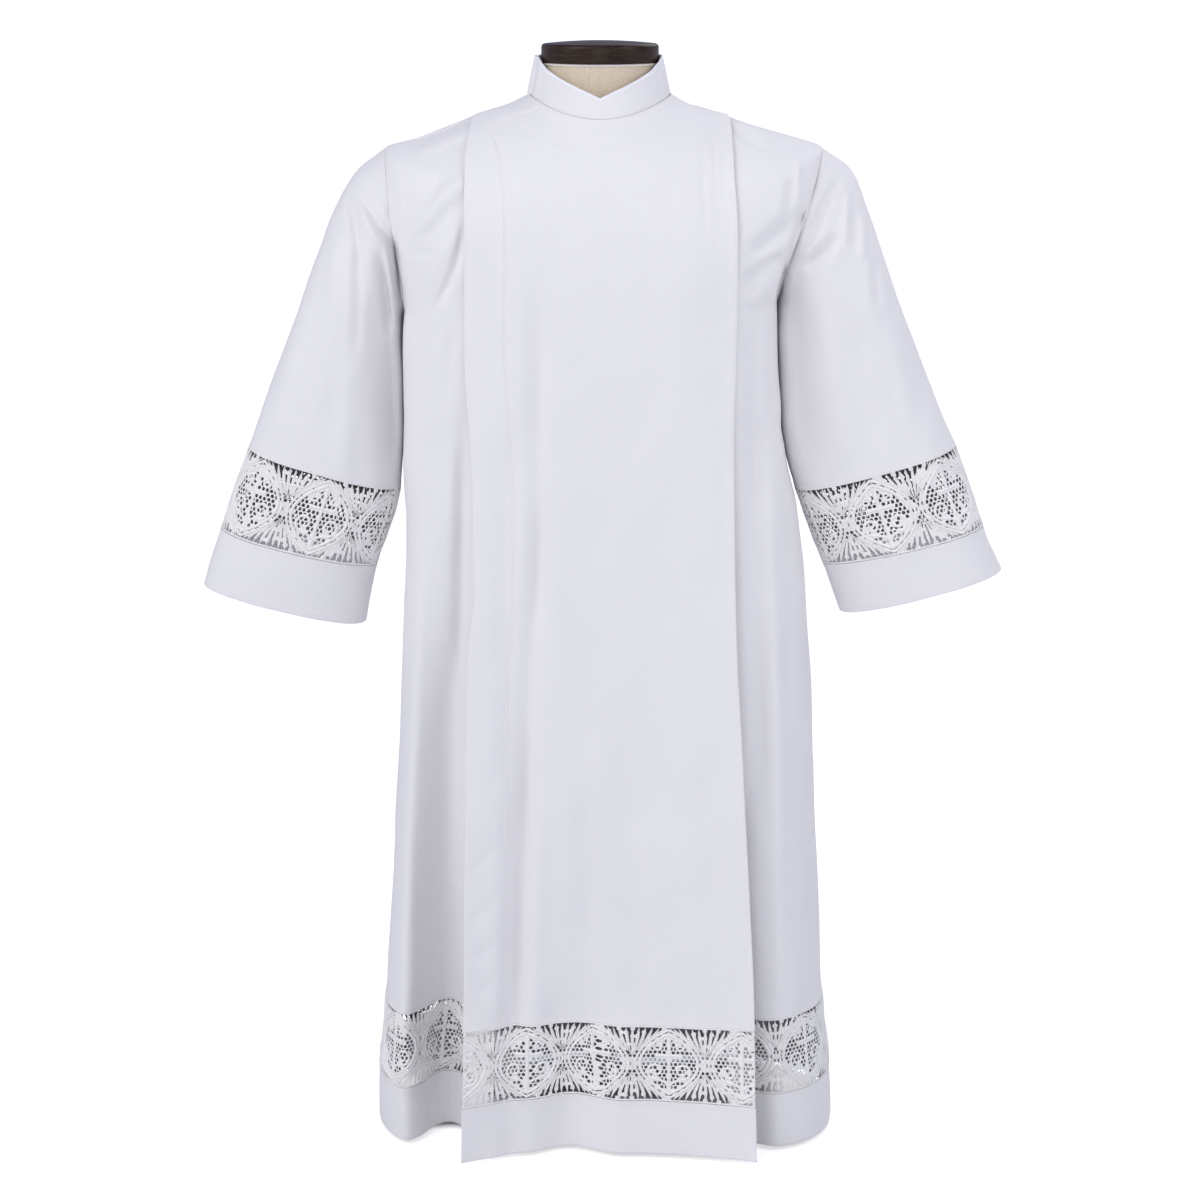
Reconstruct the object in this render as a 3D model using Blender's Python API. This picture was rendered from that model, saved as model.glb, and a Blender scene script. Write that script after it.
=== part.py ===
"""A knee-length white alb with a lap front and lace bands, on a limbless dress form with a low stand.

+X is the wearer's left, -Y the front and +Z up. The origin is under the stand's base, on the
surface that it stands on. All sizes are in metres.

Every cloth piece is a thin wall. The body's pieces are cut from one skin, which is worked out from the
outlines that the garment shows from the front and from the side. Going up the skin, a row number runs
from 0 at the hem to 1 at the armpits, 2 at the tips of the shoulders and 3 at the neckline. Going
round it, an angle runs from 0 at the wearer's left, over 90 at the front, to 360.
"""

import math
from collections import namedtuple

import bmesh
import bpy
from mathutils import Vector

# Cloth, lace and seams
CLOTH = 0.0015
LACE_CLOTH = 0.0013
COLLAR_CLOTH = 0.0020
SEAM = 0.0003
LAP_LIFT = 0.0032
SEAM_FORWARD = 0.010
SEAM_FORWARD_ROWS = 0.35
LAP_SETTLE_ROWS = 0.15
SHARP_EDGE = 40.0

# Heights of the body's bands
HEM = 0.006
HEM_BAND = 0.060
LACE_BAND = 0.085
PIT = 0.910
TIP_FRONT, TIP_BACK = 1.022, 1.040
NECK_FRONT, NECK_BACK, NECK_SIDE = 1.103, 1.127, 1.125
SHOULDER_ROUND = 2.0

# The half widths of the skin seen from the front, on the wearer's right and left
Side = namedtuple("Side", "height right left")
SIDES = (
    Side(0.006, 0.2460, 0.2590),
    Side(0.059, 0.2450, 0.2565),
    Side(0.131, 0.2385, 0.2475),
    Side(0.249, 0.2300, 0.2410),
    Side(0.365, 0.2230, 0.2335),
    Side(0.479, 0.2155, 0.2285),
    Side(0.591, 0.2090, 0.2205),
    Side(0.695, 0.2045, 0.2085),
    Side(0.745, 0.2040, 0.1940),
    Side(0.790, 0.2040, 0.1850),
    Side(0.904, 0.2040, 0.1840),
    Side(0.916, 0.2040, 0.1840),
    Side(1.070, 0.2220, 0.2300),
    Side(1.080, 0.1900, 0.2050),
    Side(1.094, 0.1520, 0.1560),
    Side(1.108, 0.1160, 0.1130),
    Side(1.1155, 0.0940, 0.0900),
    Side(1.125, 0.0735, 0.0735),
)

# The depths of the skin seen from the side
Depth = namedtuple("Depth", "height front back")
DEPTHS = (
    Depth(0.006, 0.135, 0.132),
    Depth(0.131, 0.131, 0.129),
    Depth(0.365, 0.125, 0.123),
    Depth(0.591, 0.1205, 0.117),
    Depth(0.790, 0.119, 0.114),
    Depth(0.910, 0.119, 0.113),
    Depth(0.985, 0.116, 0.111),
    Depth(1.030, 0.109, 0.106),
    Depth(1.065, 0.098, 0.097),
    Depth(1.088, 0.087, 0.090),
    Depth(1.103, 0.078, 0.083),
    Depth(1.127, 0.078, 0.072),
)

# How square each row is: 2 is an ellipse
Shape = namedtuple("Shape", "row square")
SHAPES = (
    Shape(0.0, 3.35),
    Shape(0.5, 3.2),
    Shape(1.0, 3.2),
    Shape(1.5, 3.0),
    Shape(2.0, 2.6),
    Shape(3.0, 2.0),
)

# The sides of the lap, which is the wide panel over the front
LapEdge = namedtuple("LapEdge", "height right left lift_right lift_left")
LAP_EDGES = (
    LapEdge(0.006, 0.150, 0.168, 0.032, 0.034),
    LapEdge(0.180, 0.146, 0.161, 0.026, 0.025),
    LapEdge(0.290, 0.145, 0.156, 0.021, 0.019),
    LapEdge(0.400, 0.144, 0.149, 0.018, 0.016),
    LapEdge(0.490, 0.146, 0.144, 0.013, 0.011),
    LapEdge(0.620, 0.137, 0.138, 0.008, 0.007),
    LapEdge(0.790, 0.134, 0.137, 0.003, 0.003),
    LapEdge(0.880, 0.139, 0.137, 0.001, 0.001),
    LapEdge(0.920, 0.143, 0.137, 0.000, 0.000),
    LapEdge(0.980, 0.145, 0.138, 0.000, 0.000),
    LapEdge(1.040, 0.137, 0.132, 0.000, 0.000),
    LapEdge(1.115, 0.131, 0.131, 0.000, 0.000),
)

# Upright folds: x at the hem and at the top of the fold, half width, depth outwards at the hem, and the
# heights where the fold begins and where it has its whole depth
Fold = namedtuple("Fold", "low_x high_x width depth begins whole")
LAP_AND_FRONT_FOLDS = (
    Fold(-0.093, -0.088, 0.026, -0.006, 0.90, 0.62),
    Fold(-0.034, -0.024, 0.062, -0.021, 0.42, 0.01),
)
FRONT_FOLDS = (
    Fold(-0.165, -0.144, 0.053, -0.066, 0.82, 0.06),
    Fold(-0.214, -0.190, 0.034, 0.005, 0.70, 0.10),
    Fold(0.156, 0.150, 0.038, -0.017, 0.86, 0.25),
    Fold(0.206, 0.180, 0.036, 0.004, 0.70, 0.20),
)
BACK_FOLDS = (
    Fold(-0.170, -0.150, 0.055, 0.009, 0.75, 0.08),
    Fold(-0.100, -0.090, 0.060, -0.014, 0.85, 0.05),
    Fold(-0.025, -0.010, 0.065, 0.010, 0.70, 0.05),
    Fold(0.065, 0.050, 0.058, -0.013, 0.80, 0.05),
    Fold(0.140, 0.120, 0.055, 0.010, 0.65, 0.08),
)

# The sleeves, from the armhole to the cuff. A section runs from its inner point to its outer one, seen
# from the front, and is a rounded ring of that width and of this half depth.
Section = namedtuple("Section", "share out_x out_z in_x in_z depth square")
LACE_TOP, LACE_LOW = 0.66, 0.86
SLEEVES = {
    -1: (
        Section(0.00, 0.222, 1.070, 0.2040, 0.904, 0.064, 2.0),
        Section(0.07, 0.251, 1.048, 0.2065, 0.897, 0.066, 2.0),
        Section(0.15, 0.275, 1.010, 0.2075, 0.887, 0.068, 2.1),
        Section(0.26, 0.2965, 0.958, 0.2080, 0.871, 0.068, 2.2),
        Section(0.39, 0.321, 0.893, 0.2080, 0.836, 0.065, 2.3),
        Section(0.53, 0.347, 0.825, 0.2090, 0.782, 0.061, 2.3),
        Section(LACE_TOP, 0.3715, 0.758, 0.2150, 0.714, 0.056, 2.3),
        Section(LACE_LOW, 0.404, 0.669, 0.2405, 0.629, 0.052, 2.3),
        Section(1.00, 0.4275, 0.608, 0.2525, 0.5655, 0.050, 2.3),
    ),
    1: (
        Section(0.00, 0.230, 1.070, 0.1840, 0.916, 0.064, 2.0),
        Section(0.07, 0.2585, 1.049, 0.1870, 0.909, 0.066, 2.0),
        Section(0.15, 0.279, 1.008, 0.1885, 0.899, 0.068, 2.1),
        Section(0.26, 0.299, 0.952, 0.1890, 0.882, 0.068, 2.2),
        Section(0.39, 0.3235, 0.886, 0.1900, 0.846, 0.065, 2.3),
        Section(0.53, 0.349, 0.823, 0.1915, 0.788, 0.061, 2.3),
        Section(LACE_TOP, 0.3775, 0.760, 0.2090, 0.713, 0.056, 2.3),
        Section(LACE_LOW, 0.410, 0.672, 0.2385, 0.631, 0.052, 2.3),
        Section(1.00, 0.4315, 0.624, 0.2575, 0.5775, 0.050, 2.3),
    ),
}

# The standing collar: its foot follows the neckline and its top dips to a point at the front. It is open
# at an angle from the wearer's left, by a few degrees.
COLLAR_WIDE = 0.0730
COLLAR_DEEP_FRONT = 0.0775
COLLAR_DEEP_BACK = 0.0715
COLLAR_LEAN = 0.22
COLLAR_OPENING = 178.0
COLLAR_GAP = 1.0
COLLAR_SHARES = (0.0, 0.5, 1.0)
Dip = namedtuple("Dip", "x top")
COLLAR_FRONT = (Dip(0.0, 1.123), Dip(0.054, 1.1505), Dip(0.0655, 1.163))
COLLAR_BACK = 1.166

# The lace: each repeat runs from the middle of one medallion to the middle of the next and has three
# columns and two rows of cells. The widest gap of each cell is a diamond that is given in shares of it.
REPEAT = 0.079
LACE_COLUMNS = 3
NARROW_CELL = 0.4
WHOLE_CELL = 0.9
FIRST_CENTRES = {"back": 0.030, "lap": 0.014, "side_front_right": 0.011, "side_front_left": 0.021}
Gap = namedtuple("Gap", "column row across up wide high")
GAPS = (
    Gap(0, 0, 0.42, 0.50, 0.13, 0.10),
    Gap(0, 1, 0.42, 0.50, 0.13, 0.10),
    Gap(1, 0, 0.50, 0.30, 0.13, 0.10),
    Gap(1, 1, 0.50, 0.70, 0.13, 0.10),
    Gap(2, 0, 0.58, 0.50, 0.13, 0.10),
    Gap(2, 1, 0.58, 0.50, 0.13, 0.10),
)

# The dress form, its cap and its stand
FormRing = namedtuple("FormRing", "height wide front back square")
FORM = (
    FormRing(0.430, 0.146, 0.082, 0.090, 2.3),
    FormRing(0.447, 0.158, 0.091, 0.099, 2.3),
    FormRing(0.530, 0.162, 0.094, 0.103, 2.3),
    FormRing(0.700, 0.145, 0.088, 0.087, 2.3),
    FormRing(0.860, 0.155, 0.101, 0.094, 2.3),
    FormRing(0.960, 0.170, 0.103, 0.099, 2.3),
    FormRing(1.020, 0.188, 0.094, 0.094, 2.2),
    FormRing(1.052, 0.192, 0.080, 0.082, 2.1),
    FormRing(1.076, 0.166, 0.066, 0.068, 2.0),
    FormRing(1.094, 0.122, 0.060, 0.062, 2.0),
    FormRing(1.107, 0.084, 0.058, 0.059, 2.0),
    FormRing(1.120, 0.064, 0.057, 0.058, 2.0),
    FormRing(1.1567, 0.0580, 0.0570, 0.0570, 2.0),
)
FORM_SIDES = 28
CAP_RADIUS, CAP_LOW, CAP_TOP, CAP_ROUND = 0.0605, 1.1570, 1.179, 0.004
POLE_RADIUS, POLE_LOW, POLE_TOP = 0.015, 0.0103, 0.4140
FLANGE_RADIUS, FLANGE_NECK, FLANGE_PLATE = 0.060, 0.022, 0.004
FLANGE_LOW, FLANGE_TOP = 0.4143, 0.4297
BASE_RADIUS, BASE_RIM = 0.086, 0.003
BASE_FOOT_RADIUS, BASE_FOOT_TOP = 0.032, 0.0125
BASE_HUB_RADIUS, BASE_HUB_LOW, BASE_HUB_TOP = 0.026, 0.016, 0.034
EDGE = 0.001
ROUND_SIDES = 32

COLOURS = {
    "cloth": (0.86, 0.86, 0.90, 1.0),
    "lace": (0.86, 0.86, 0.84, 1.0),
    "linen": (0.66, 0.58, 0.47, 1.0),
    "wood": (0.07, 0.045, 0.035, 1.0),
    "steel": (0.62, 0.62, 0.63, 1.0),
}
ROUGHNESS = {"cloth": 0.8, "lace": 0.8, "linen": 0.9, "wood": 0.35, "steel": 0.3}


def along(table, place, column):
    """The named column of a table at a place in its first, on a smooth curve that never overshoots."""
    places = [row[0] for row in table]
    values = [getattr(row, column) for row in table]
    if place <= places[0]:
        return values[0]
    if place >= places[-1]:
        return values[-1]
    k = next(i for i in range(len(places) - 1) if place <= places[i + 1])

    def slope(i):
        if i < 0 or i >= len(places) - 1:
            return 0.0
        return (values[i + 1] - values[i]) / (places[i + 1] - places[i])

    def tangent(i):
        before, after = slope(i - 1), slope(i)
        if before * after <= 0.0:
            return 0.0
        return 2.0 * before * after / (before + after)

    step = places[k + 1] - places[k]
    t = (place - places[k]) / step
    first = tangent(k) if k > 0 else slope(0)
    last = tangent(k + 1) if k + 1 < len(places) - 1 else slope(k)
    return (
        values[k] * (1 + 2 * t) * (1 - t) ** 2
        + first * step * t * (1 - t) ** 2
        + values[k + 1] * t * t * (3 - 2 * t)
        - last * step * t * t * (1 - t)
    )


def eased(t):
    """0 below 0, 1 above 1 and a smooth rise between."""
    t = min(1.0, max(0.0, t))
    return t * t * (3 - 2 * t)


def bell(t):
    """1 at 0, falling smoothly to 0 at -1 and at 1."""
    return 0.5 * (1 + math.cos(math.pi * t)) if abs(t) < 1 else 0.0


def power(value, exponent):
    """The power of a value's size, with the value's sign."""
    return math.copysign(abs(value) ** exponent, value)


def fold_depth(folds, x, z):
    """How far the upright folds stand out of a skin at x and z."""
    depth = 0.0
    for fold in folds:
        share = eased((fold.begins - z) / (fold.begins - fold.whole))
        middle = fold.high_x + (fold.low_x - fold.high_x) * share
        depth += fold.depth * share * bell((x - middle) / fold.width)
    return depth


def sleeve_ring(side, share):
    """A ring's centre, its direction across the sleeve, and its half width, half depth and squareness."""
    value = {name: along(SLEEVES[side], share, name) for name in Section._fields[1:]}
    outer = Vector((side * value["out_x"], 0.0, value["out_z"]))
    inner = Vector((side * value["in_x"], 0.0, value["in_z"]))
    middle = (outer + inner) / 2
    return middle, (outer - inner).normalized(), (outer - inner).length / 2, value["depth"], value["square"]


def sleeve_point(side, share, turn):
    """A point of a sleeve. turn is 0 at the inner edge, 90 at the front and 180 at the outer edge."""
    middle, across, half, depth, square = sleeve_ring(side, share)
    cosine = power(math.cos(math.radians(turn)), 2 / square)
    sine = power(math.sin(math.radians(turn)), 2 / square)
    return middle - across * half * cosine - Vector((0, depth * sine, 0))


class Row:
    """One side of one row of the skin: where it ends, and the rounded line from there to the middle."""

    def __init__(self, side, face, row):
        self.side, self.face = side, face
        column = "right" if side < 0 else "left"
        pit = SLEEVES[side][0].in_z
        tip = SLEEVES[side][0].out_z
        top = (TIP_FRONT, NECK_FRONT) if face < 0 else (TIP_BACK, NECK_BACK)
        if row <= 1:
            self.end_z = HEM + row * (pit - HEM)
            self.middle_z = HEM + row * (PIT - HEM)
            self.end_x, self.end_depth = along(SIDES, self.end_z, column), 0.0
        elif row < 2:
            ring = sleeve_point(side, 0.0, 180 * (row - 1))
            self.end_x, self.end_depth, self.end_z = abs(ring.x), abs(ring.y), ring.z
            self.middle_z = PIT + (top[0] - PIT) * (1 - math.cos(math.pi * (row - 1))) / 2
        else:
            self.end_z = tip + (row - 2) * (NECK_SIDE - tip)
            self.middle_z = top[0] + (row - 2) * (top[1] - top[0])
            self.end_x, self.end_depth = along(SIDES, self.end_z, column), 0.0
        self.square = along(SHAPES, row, "square")
        self.depth = along(DEPTHS, self.middle_z, "front" if face < 0 else "back")
        self.end_rise = self.end_depth / self.depth
        reach = (1 - self.end_rise**self.square) ** (1 / self.square)
        self.half = self.end_x / reach

    def angle_at_depth(self, depth):
        """The angle from the side where the line is this deep."""
        return math.asin(min(1.0, depth / self.depth) ** (self.square / 2))

    def angle_at_x(self, x):
        """The angle from the side where the line is this far from the middle."""
        return math.acos(min(1.0, x / self.half) ** (self.square / 2))

    def point(self, angle):
        """The point at this angle from the side, in radians."""
        x = self.side * self.half * power(math.cos(angle), 2 / self.square)
        rise = max(0.0, math.sin(angle)) ** (2 / self.square)
        start = self.end_rise**SHOULDER_ROUND
        level = (rise**SHOULDER_ROUND - start) / (1 - start)
        return Vector((x, self.face * self.depth * rise, self.end_z + (self.middle_z - self.end_z) * level))


def skin_point(row, angle, folds=None):
    """A point of the skin at a row and an angle in degrees. Below 0 and over 180 is the back."""
    angle = angle % 360
    face = -1 if angle < 180 else 1
    round_half = angle % 180
    side = 1 if (round_half <= 90) == (face < 0) else -1
    from_side = math.radians(min(round_half, 180 - round_half))
    point = Row(side, face, row).point(from_side)
    if folds is None:
        folds = LAP_AND_FRONT_FOLDS + FRONT_FOLDS if face < 0 else BACK_FOLDS
    point.y += face * fold_depth(folds, point.x, point.z)
    return point


def lap_point(row, angle):
    """A point of the skin under the lap, carried forward to where the lap hangs."""
    point = skin_point(row, angle, LAP_AND_FRONT_FOLDS)
    column = ("right", "lift_right") if point.x < 0 else ("left", "lift_left")
    share = min(1.0, abs(point.x) / along(LAP_EDGES, point.z, column[0]))
    point.y -= along(LAP_EDGES, point.z, column[1]) * share**3
    return point


def normal_of(surface, row, angle, low_row, high_row):
    """The outward normal of a surface over rows and angles."""
    step_row, step_angle = 0.004, 0.6
    up = surface(min(high_row, row + step_row), angle) - surface(max(low_row, row - step_row), angle)
    across = surface(row, angle - step_angle) - surface(row, angle + step_angle)
    return across.cross(up).normalized()


def seam_angle(side, row, face):
    """The angle in degrees where a front or back piece ends at the side, armhole or shoulder seam."""
    line = Row(side, face, row)
    forward = SEAM_FORWARD * eased((row - 2) / SEAM_FORWARD_ROWS)
    if face < 0:
        angle = math.degrees(line.angle_at_depth(line.end_depth + forward + SEAM / 2))
    elif row > 2 and forward > SEAM:
        angle = -math.degrees(Row(side, -1, row).angle_at_depth(forward - SEAM / 2))
    else:
        angle = math.degrees(line.angle_at_depth(line.end_depth + SEAM / 2))
    if face < 0:
        return angle if side > 0 else 180 - angle
    return 360 - angle if side > 0 else 180 + angle


def lap_angles(row):
    """The angles in degrees of the lap's left and right sides in a row."""
    angles = []
    for side, column in ((1, "left"), (-1, "right")):
        line = Row(side, -1, row)
        seam = seam_angle(side, row, -1)
        edge = math.degrees(line.angle_at_x(along(LAP_EDGES, line.middle_z, column)))
        angles.append(max(seam, edge) if side > 0 else min(seam, 180 - edge))
    return angles


def evenly(first, last, count):
    """count + 1 numbers from first to last."""
    return [first + (last - first) * k / count for k in range(count + 1)]


def kept_beside(direction, plane_normal):
    """A direction with no part of it against the plane's normal, so that a wall stays on its side of it."""
    crossing = direction.dot(plane_normal)
    return (direction - plane_normal * min(0.0, crossing)).normalized()


def armhole_normal(side):
    """The normal of an armhole's plane, towards the body."""
    across = sleeve_ring(side, 0.0)[1]
    return Vector((-across.z, 0.0, across.x)) * side


def wall_points(surface, rows, columns, lift, thickness):
    """The outer and inner points of a wall, a list for each row.

    columns gives a row's angles, and lift gives how far a row is moved out. A wall's ends at an armhole
    stay on the body's side of it.
    """
    outer, inner = [], []
    for row in rows:
        out_line, in_line = [], []
        angles = columns(row)
        for angle in angles:
            normal = normal_of(surface, row, angle, rows[0], rows[-1])
            point = surface(row, angle) + normal * lift(row)
            inward = -normal
            if 1 <= row <= 2 and lift(row) == 0.0 and angle in (angles[0], angles[-1]):
                inward = kept_beside(inward, armhole_normal(1 if point.x > 0 else -1))
            out_line.append(point)
            in_line.append(point + inward * thickness)
        outer.append(out_line)
        inner.append(in_line)
    return outer, inner


def material(name):
    """The material of this name, made when it is first asked for."""
    found = bpy.data.materials.get(name)
    if found:
        return found
    made = bpy.data.materials.new(name)
    made.use_nodes = True
    shader = made.node_tree.nodes["Principled BSDF"]
    shader.inputs["Base Color"].default_value = COLOURS[name]
    shader.inputs["Roughness"].default_value = ROUGHNESS[name]
    shader.inputs["Metallic"].default_value = 1.0 if name == "steel" else 0.0
    made.diffuse_color = COLOURS[name]
    return made


def add_object(name, mesh_data, finish):
    """An object of a closed bmesh, with its faces turned outwards.

    A wall's four-sided faces are bent, so they are cut into triangles here, which fixes their form.
    """
    bmesh.ops.triangulate(mesh_data, faces=mesh_data.faces, quad_method="BEAUTY")
    bmesh.ops.recalc_face_normals(mesh_data, faces=mesh_data.faces)
    if mesh_data.calc_volume(signed=True) < 0:
        bmesh.ops.reverse_faces(mesh_data, faces=mesh_data.faces)
    mesh = bpy.data.meshes.new(name)
    mesh_data.to_mesh(mesh)
    mesh_data.free()
    mesh.shade_smooth()
    mesh.set_sharp_from_angle(angle=math.radians(SHARP_EDGE))
    mesh.materials.append(material(finish))
    made = bpy.data.objects.new(name, mesh)
    bpy.context.scene.collection.objects.link(made)
    return made


def triangles_round(cell, hole, middle):
    """Faces between a cell's corners and a hole, both as (vertex, place) pairs."""

    def turn(place):
        return math.atan2(place[1] - middle[1], place[0] - middle[0]) % (2 * math.pi)

    cell = sorted(cell, key=lambda corner: turn(corner[1]))
    hole = sorted(hole, key=lambda corner: turn(corner[1]))
    faces, i, j = [], 0, 0
    while i < len(cell) or j < len(hole):
        here, there = cell[i % len(cell)], hole[j % len(hole)]
        next_cell = turn(cell[i + 1][1]) if i + 1 < len(cell) else 2 * math.pi + turn(cell[0][1])
        next_hole = turn(hole[j + 1][1]) if j + 1 < len(hole) else 2 * math.pi + turn(hole[0][1])
        if j >= len(hole) or (i < len(cell) and next_cell <= next_hole):
            faces.append((here[0], cell[(i + 1) % len(cell)][0], there[0]))
            i += 1
        else:
            faces.append((here[0], hole[(j + 1) % len(hole)][0], there[0]))
            j += 1
    return faces


def gap_corners(gap):
    """The corners of a gap, in shares of its cell."""
    return (
        (gap.across + gap.wide, gap.up),
        (gap.across, gap.up + gap.high),
        (gap.across - gap.wide, gap.up),
        (gap.across, gap.up - gap.high),
    )


def add_wall(name, outer, inner, finish, closed=False, gaps=None):
    """A wall between an outer and an inner grid of points. gaps has the gap that is cut in a cell."""
    mesh_data = bmesh.new()
    skins = [[[mesh_data.verts.new(p) for p in line] for line in grid] for grid in (outer, inner)]
    rows, columns = len(outer), len(outer[0])
    spans = columns if closed else columns - 1
    for i in range(rows - 1):
        for j in range(spans):
            corners = [(i, j), (i, (j + 1) % columns), (i + 1, (j + 1) % columns), (i + 1, j)]
            gap = (gaps or {}).get((i, j))
            if gap is None:
                for skin in skins:
                    mesh_data.faces.new([skin[a][b] for a, b in corners])
                continue
            add_cut_cell(mesh_data, skins, corners, gap)
    for j in range(spans):
        after = (j + 1) % columns
        for i in (0, rows - 1):
            edge = (skins[0][i][j], skins[0][i][after], skins[1][i][after], skins[1][i][j])
            mesh_data.faces.new(edge)
    if not closed:
        for i in range(rows - 1):
            for j in (0, columns - 1):
                edge = (skins[0][i][j], skins[0][i + 1][j], skins[1][i + 1][j], skins[1][i][j])
                mesh_data.faces.new(edge)
    return add_object(name, mesh_data, finish)


def add_cut_cell(mesh_data, skins, corners, gap):
    """One cell of a wall with a gap cut through it."""
    places = ((0, 0), (1, 0), (1, 1), (0, 1))
    rims = []
    for skin in skins:
        cell = [skin[a][b] for a, b in corners]
        rim = []
        for across, up in gap_corners(gap):
            low = cell[0].co.lerp(cell[1].co, across)
            high = cell[3].co.lerp(cell[2].co, across)
            rim.append(mesh_data.verts.new(low.lerp(high, up)))
        shares = list(zip(rim, gap_corners(gap)))
        for face in triangles_round(list(zip(cell, places)), shares, (gap.across, gap.up)):
            mesh_data.faces.new(face)
        rims.append(rim)
    for k in range(len(rims[0])):
        after = (k + 1) % len(rims[0])
        mesh_data.faces.new((rims[0][k], rims[0][after], rims[1][after], rims[1][k]))


def lace_cells(length, first_centre):
    """Where the lace's cells begin along a strip, and each one's column of the repeat.

    A medallion's middle lies at first_centre. A part cell that is too narrow joins its neighbour.
    """
    cell = REPEAT / LACE_COLUMNS
    start = first_centre - REPEAT * math.ceil(first_centre / REPEAT)
    cells, k = [(0.0, None)], 0
    while start + k * cell < length - NARROW_CELL * cell:
        place = start + k * cell
        if place > NARROW_CELL * cell:
            cells.append((place, k % LACE_COLUMNS))
        k += 1
    return cells


def share_finder(points):
    """A function that turns a share of a line's length into a share of its points."""
    lengths = [0.0]
    for a, b in zip(points, points[1:]):
        lengths.append(lengths[-1] + (b - a).length)

    def find(share):
        target = share * lengths[-1]
        last = len(points) - 2
        k = next((i for i in range(last) if lengths[i + 1] >= target), last)
        inside = (target - lengths[k]) / (lengths[k + 1] - lengths[k])
        return (k + inside) / (len(points) - 1)

    return find


def lace_layout(points, first_centre):
    """The shares of a strip's points where its cells begin and end, and the gap of each cell."""
    length = sum((b - a).length for a, b in zip(points, points[1:]))
    cells = lace_cells(length, first_centre)
    find = share_finder(points)
    shares = [find(place / length) for place, _ in cells] + [1.0]
    whole = WHOLE_CELL * REPEAT / LACE_COLUMNS
    gaps = {}
    for j, (place, column) in enumerate(cells):
        end = cells[j + 1][0] if j + 1 < len(cells) else length
        if column is not None and end - place > whole:
            gaps.update({(gap.row, j): gap for gap in GAPS if gap.column == column})
    return shares, gaps


def row_at(height):
    """The row of the skin at a height between the hem and the armpits."""
    return (height - HEM) / (PIT - HEM)


LACE_LOW_ROW = row_at(HEM + HEM_BAND)
LACE_TOP_ROW = row_at(HEM + HEM_BAND + LACE_BAND)
LACE_MIDDLE_ROW = (LACE_LOW_ROW + LACE_TOP_ROW) / 2
SEAM_ROWS = SEAM / (PIT - HEM)
SKIRT_HEIGHTS = (0.25, 0.37, 0.49, 0.61, 0.72, 0.82)
SKIRT_ROWS = [row_at(height) for height in SKIRT_HEIGHTS]
SHOULDER_SHARES = (0.30, 0.58, 0.80, 0.93, 1.0)
NECK_ROWS = [2.76, 2.88, 3.0]

# The sleeve's columns lie evenly round the lace: six repeats, with a medallion beside the front's middle
SLEEVE_REPEATS = 6
SLEEVE_CENTRE = 1
SLEEVE_SHARES = [0.0, 0.035, 0.07, 0.11, 0.17, 0.26, 0.39, 0.53, LACE_TOP]
SLEEVE_SEAM_SHARE = 0.0013 * (LACE_LOW - LACE_TOP)
LACE_SEAM_TURN = 0.2

# How far the side fronts run on under the lap, in shares of its width
UNDERLAP = {-1: 0.28, 1: 0.15}


def sleeve_turns():
    """The turns of the sleeve's columns, the same in front and behind."""
    half = SLEEVE_REPEATS * LACE_COLUMNS // 2
    line = [sleeve_point(-1, (LACE_LOW + LACE_TOP) / 2, turn) for turn in evenly(0, 180, 360)]
    find = share_finder(line)
    front = [180 * find(k / half) for k in range(half)] + [180.0]
    return front + [360 - turn for turn in front[-2:0:-1]]


def side_front_top():
    """The row where the lap's sides reach the shoulder seams, so that the side fronts end under the lap."""
    width = LAP_EDGES[-1].right + SEAM
    row = 2.0
    while Row(-1, -1, row).end_x > width:
        row += 0.002
    return row


TURNS = sleeve_turns()
ARMHOLE_ROWS = [1 + turn / 180 for turn in TURNS if turn <= 180]
SIDE_TOP = side_front_top()
SHOULDER_ROWS = [2 + (SIDE_TOP - 2) * share for share in SHOULDER_SHARES]


def front_ends(side):
    """A function that gives a side front's seam and its edge under the lap, as a row's angles."""

    def ends(row):
        left, right = lap_angles(row)
        near, far = (left, right) if side > 0 else (right, left)
        return seam_angle(side, row, -1), near + (far - near) * UNDERLAP[side]

    return ends


def back_ends(row):
    """The back's first and last angle in a row, at the wearer's right seam and at the left one."""
    return seam_angle(-1, row, 1), seam_angle(1, row, 1)


def no_lift(row):
    """A piece that lies on the skin."""
    return 0.0


def lap_lift(row):
    """How far the lap stands off the side fronts. It comes down to the neckline above them."""
    return LAP_LIFT * (1 - eased((row - SIDE_TOP) / LAP_SETTLE_ROWS))


def columns_between(ends, shares):
    """A function that gives a row's angles, at these shares of the way between its ends."""

    def columns(row):
        first, last = ends(row)
        return [first + (last - first) * share for share in shares]

    return columns


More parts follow.
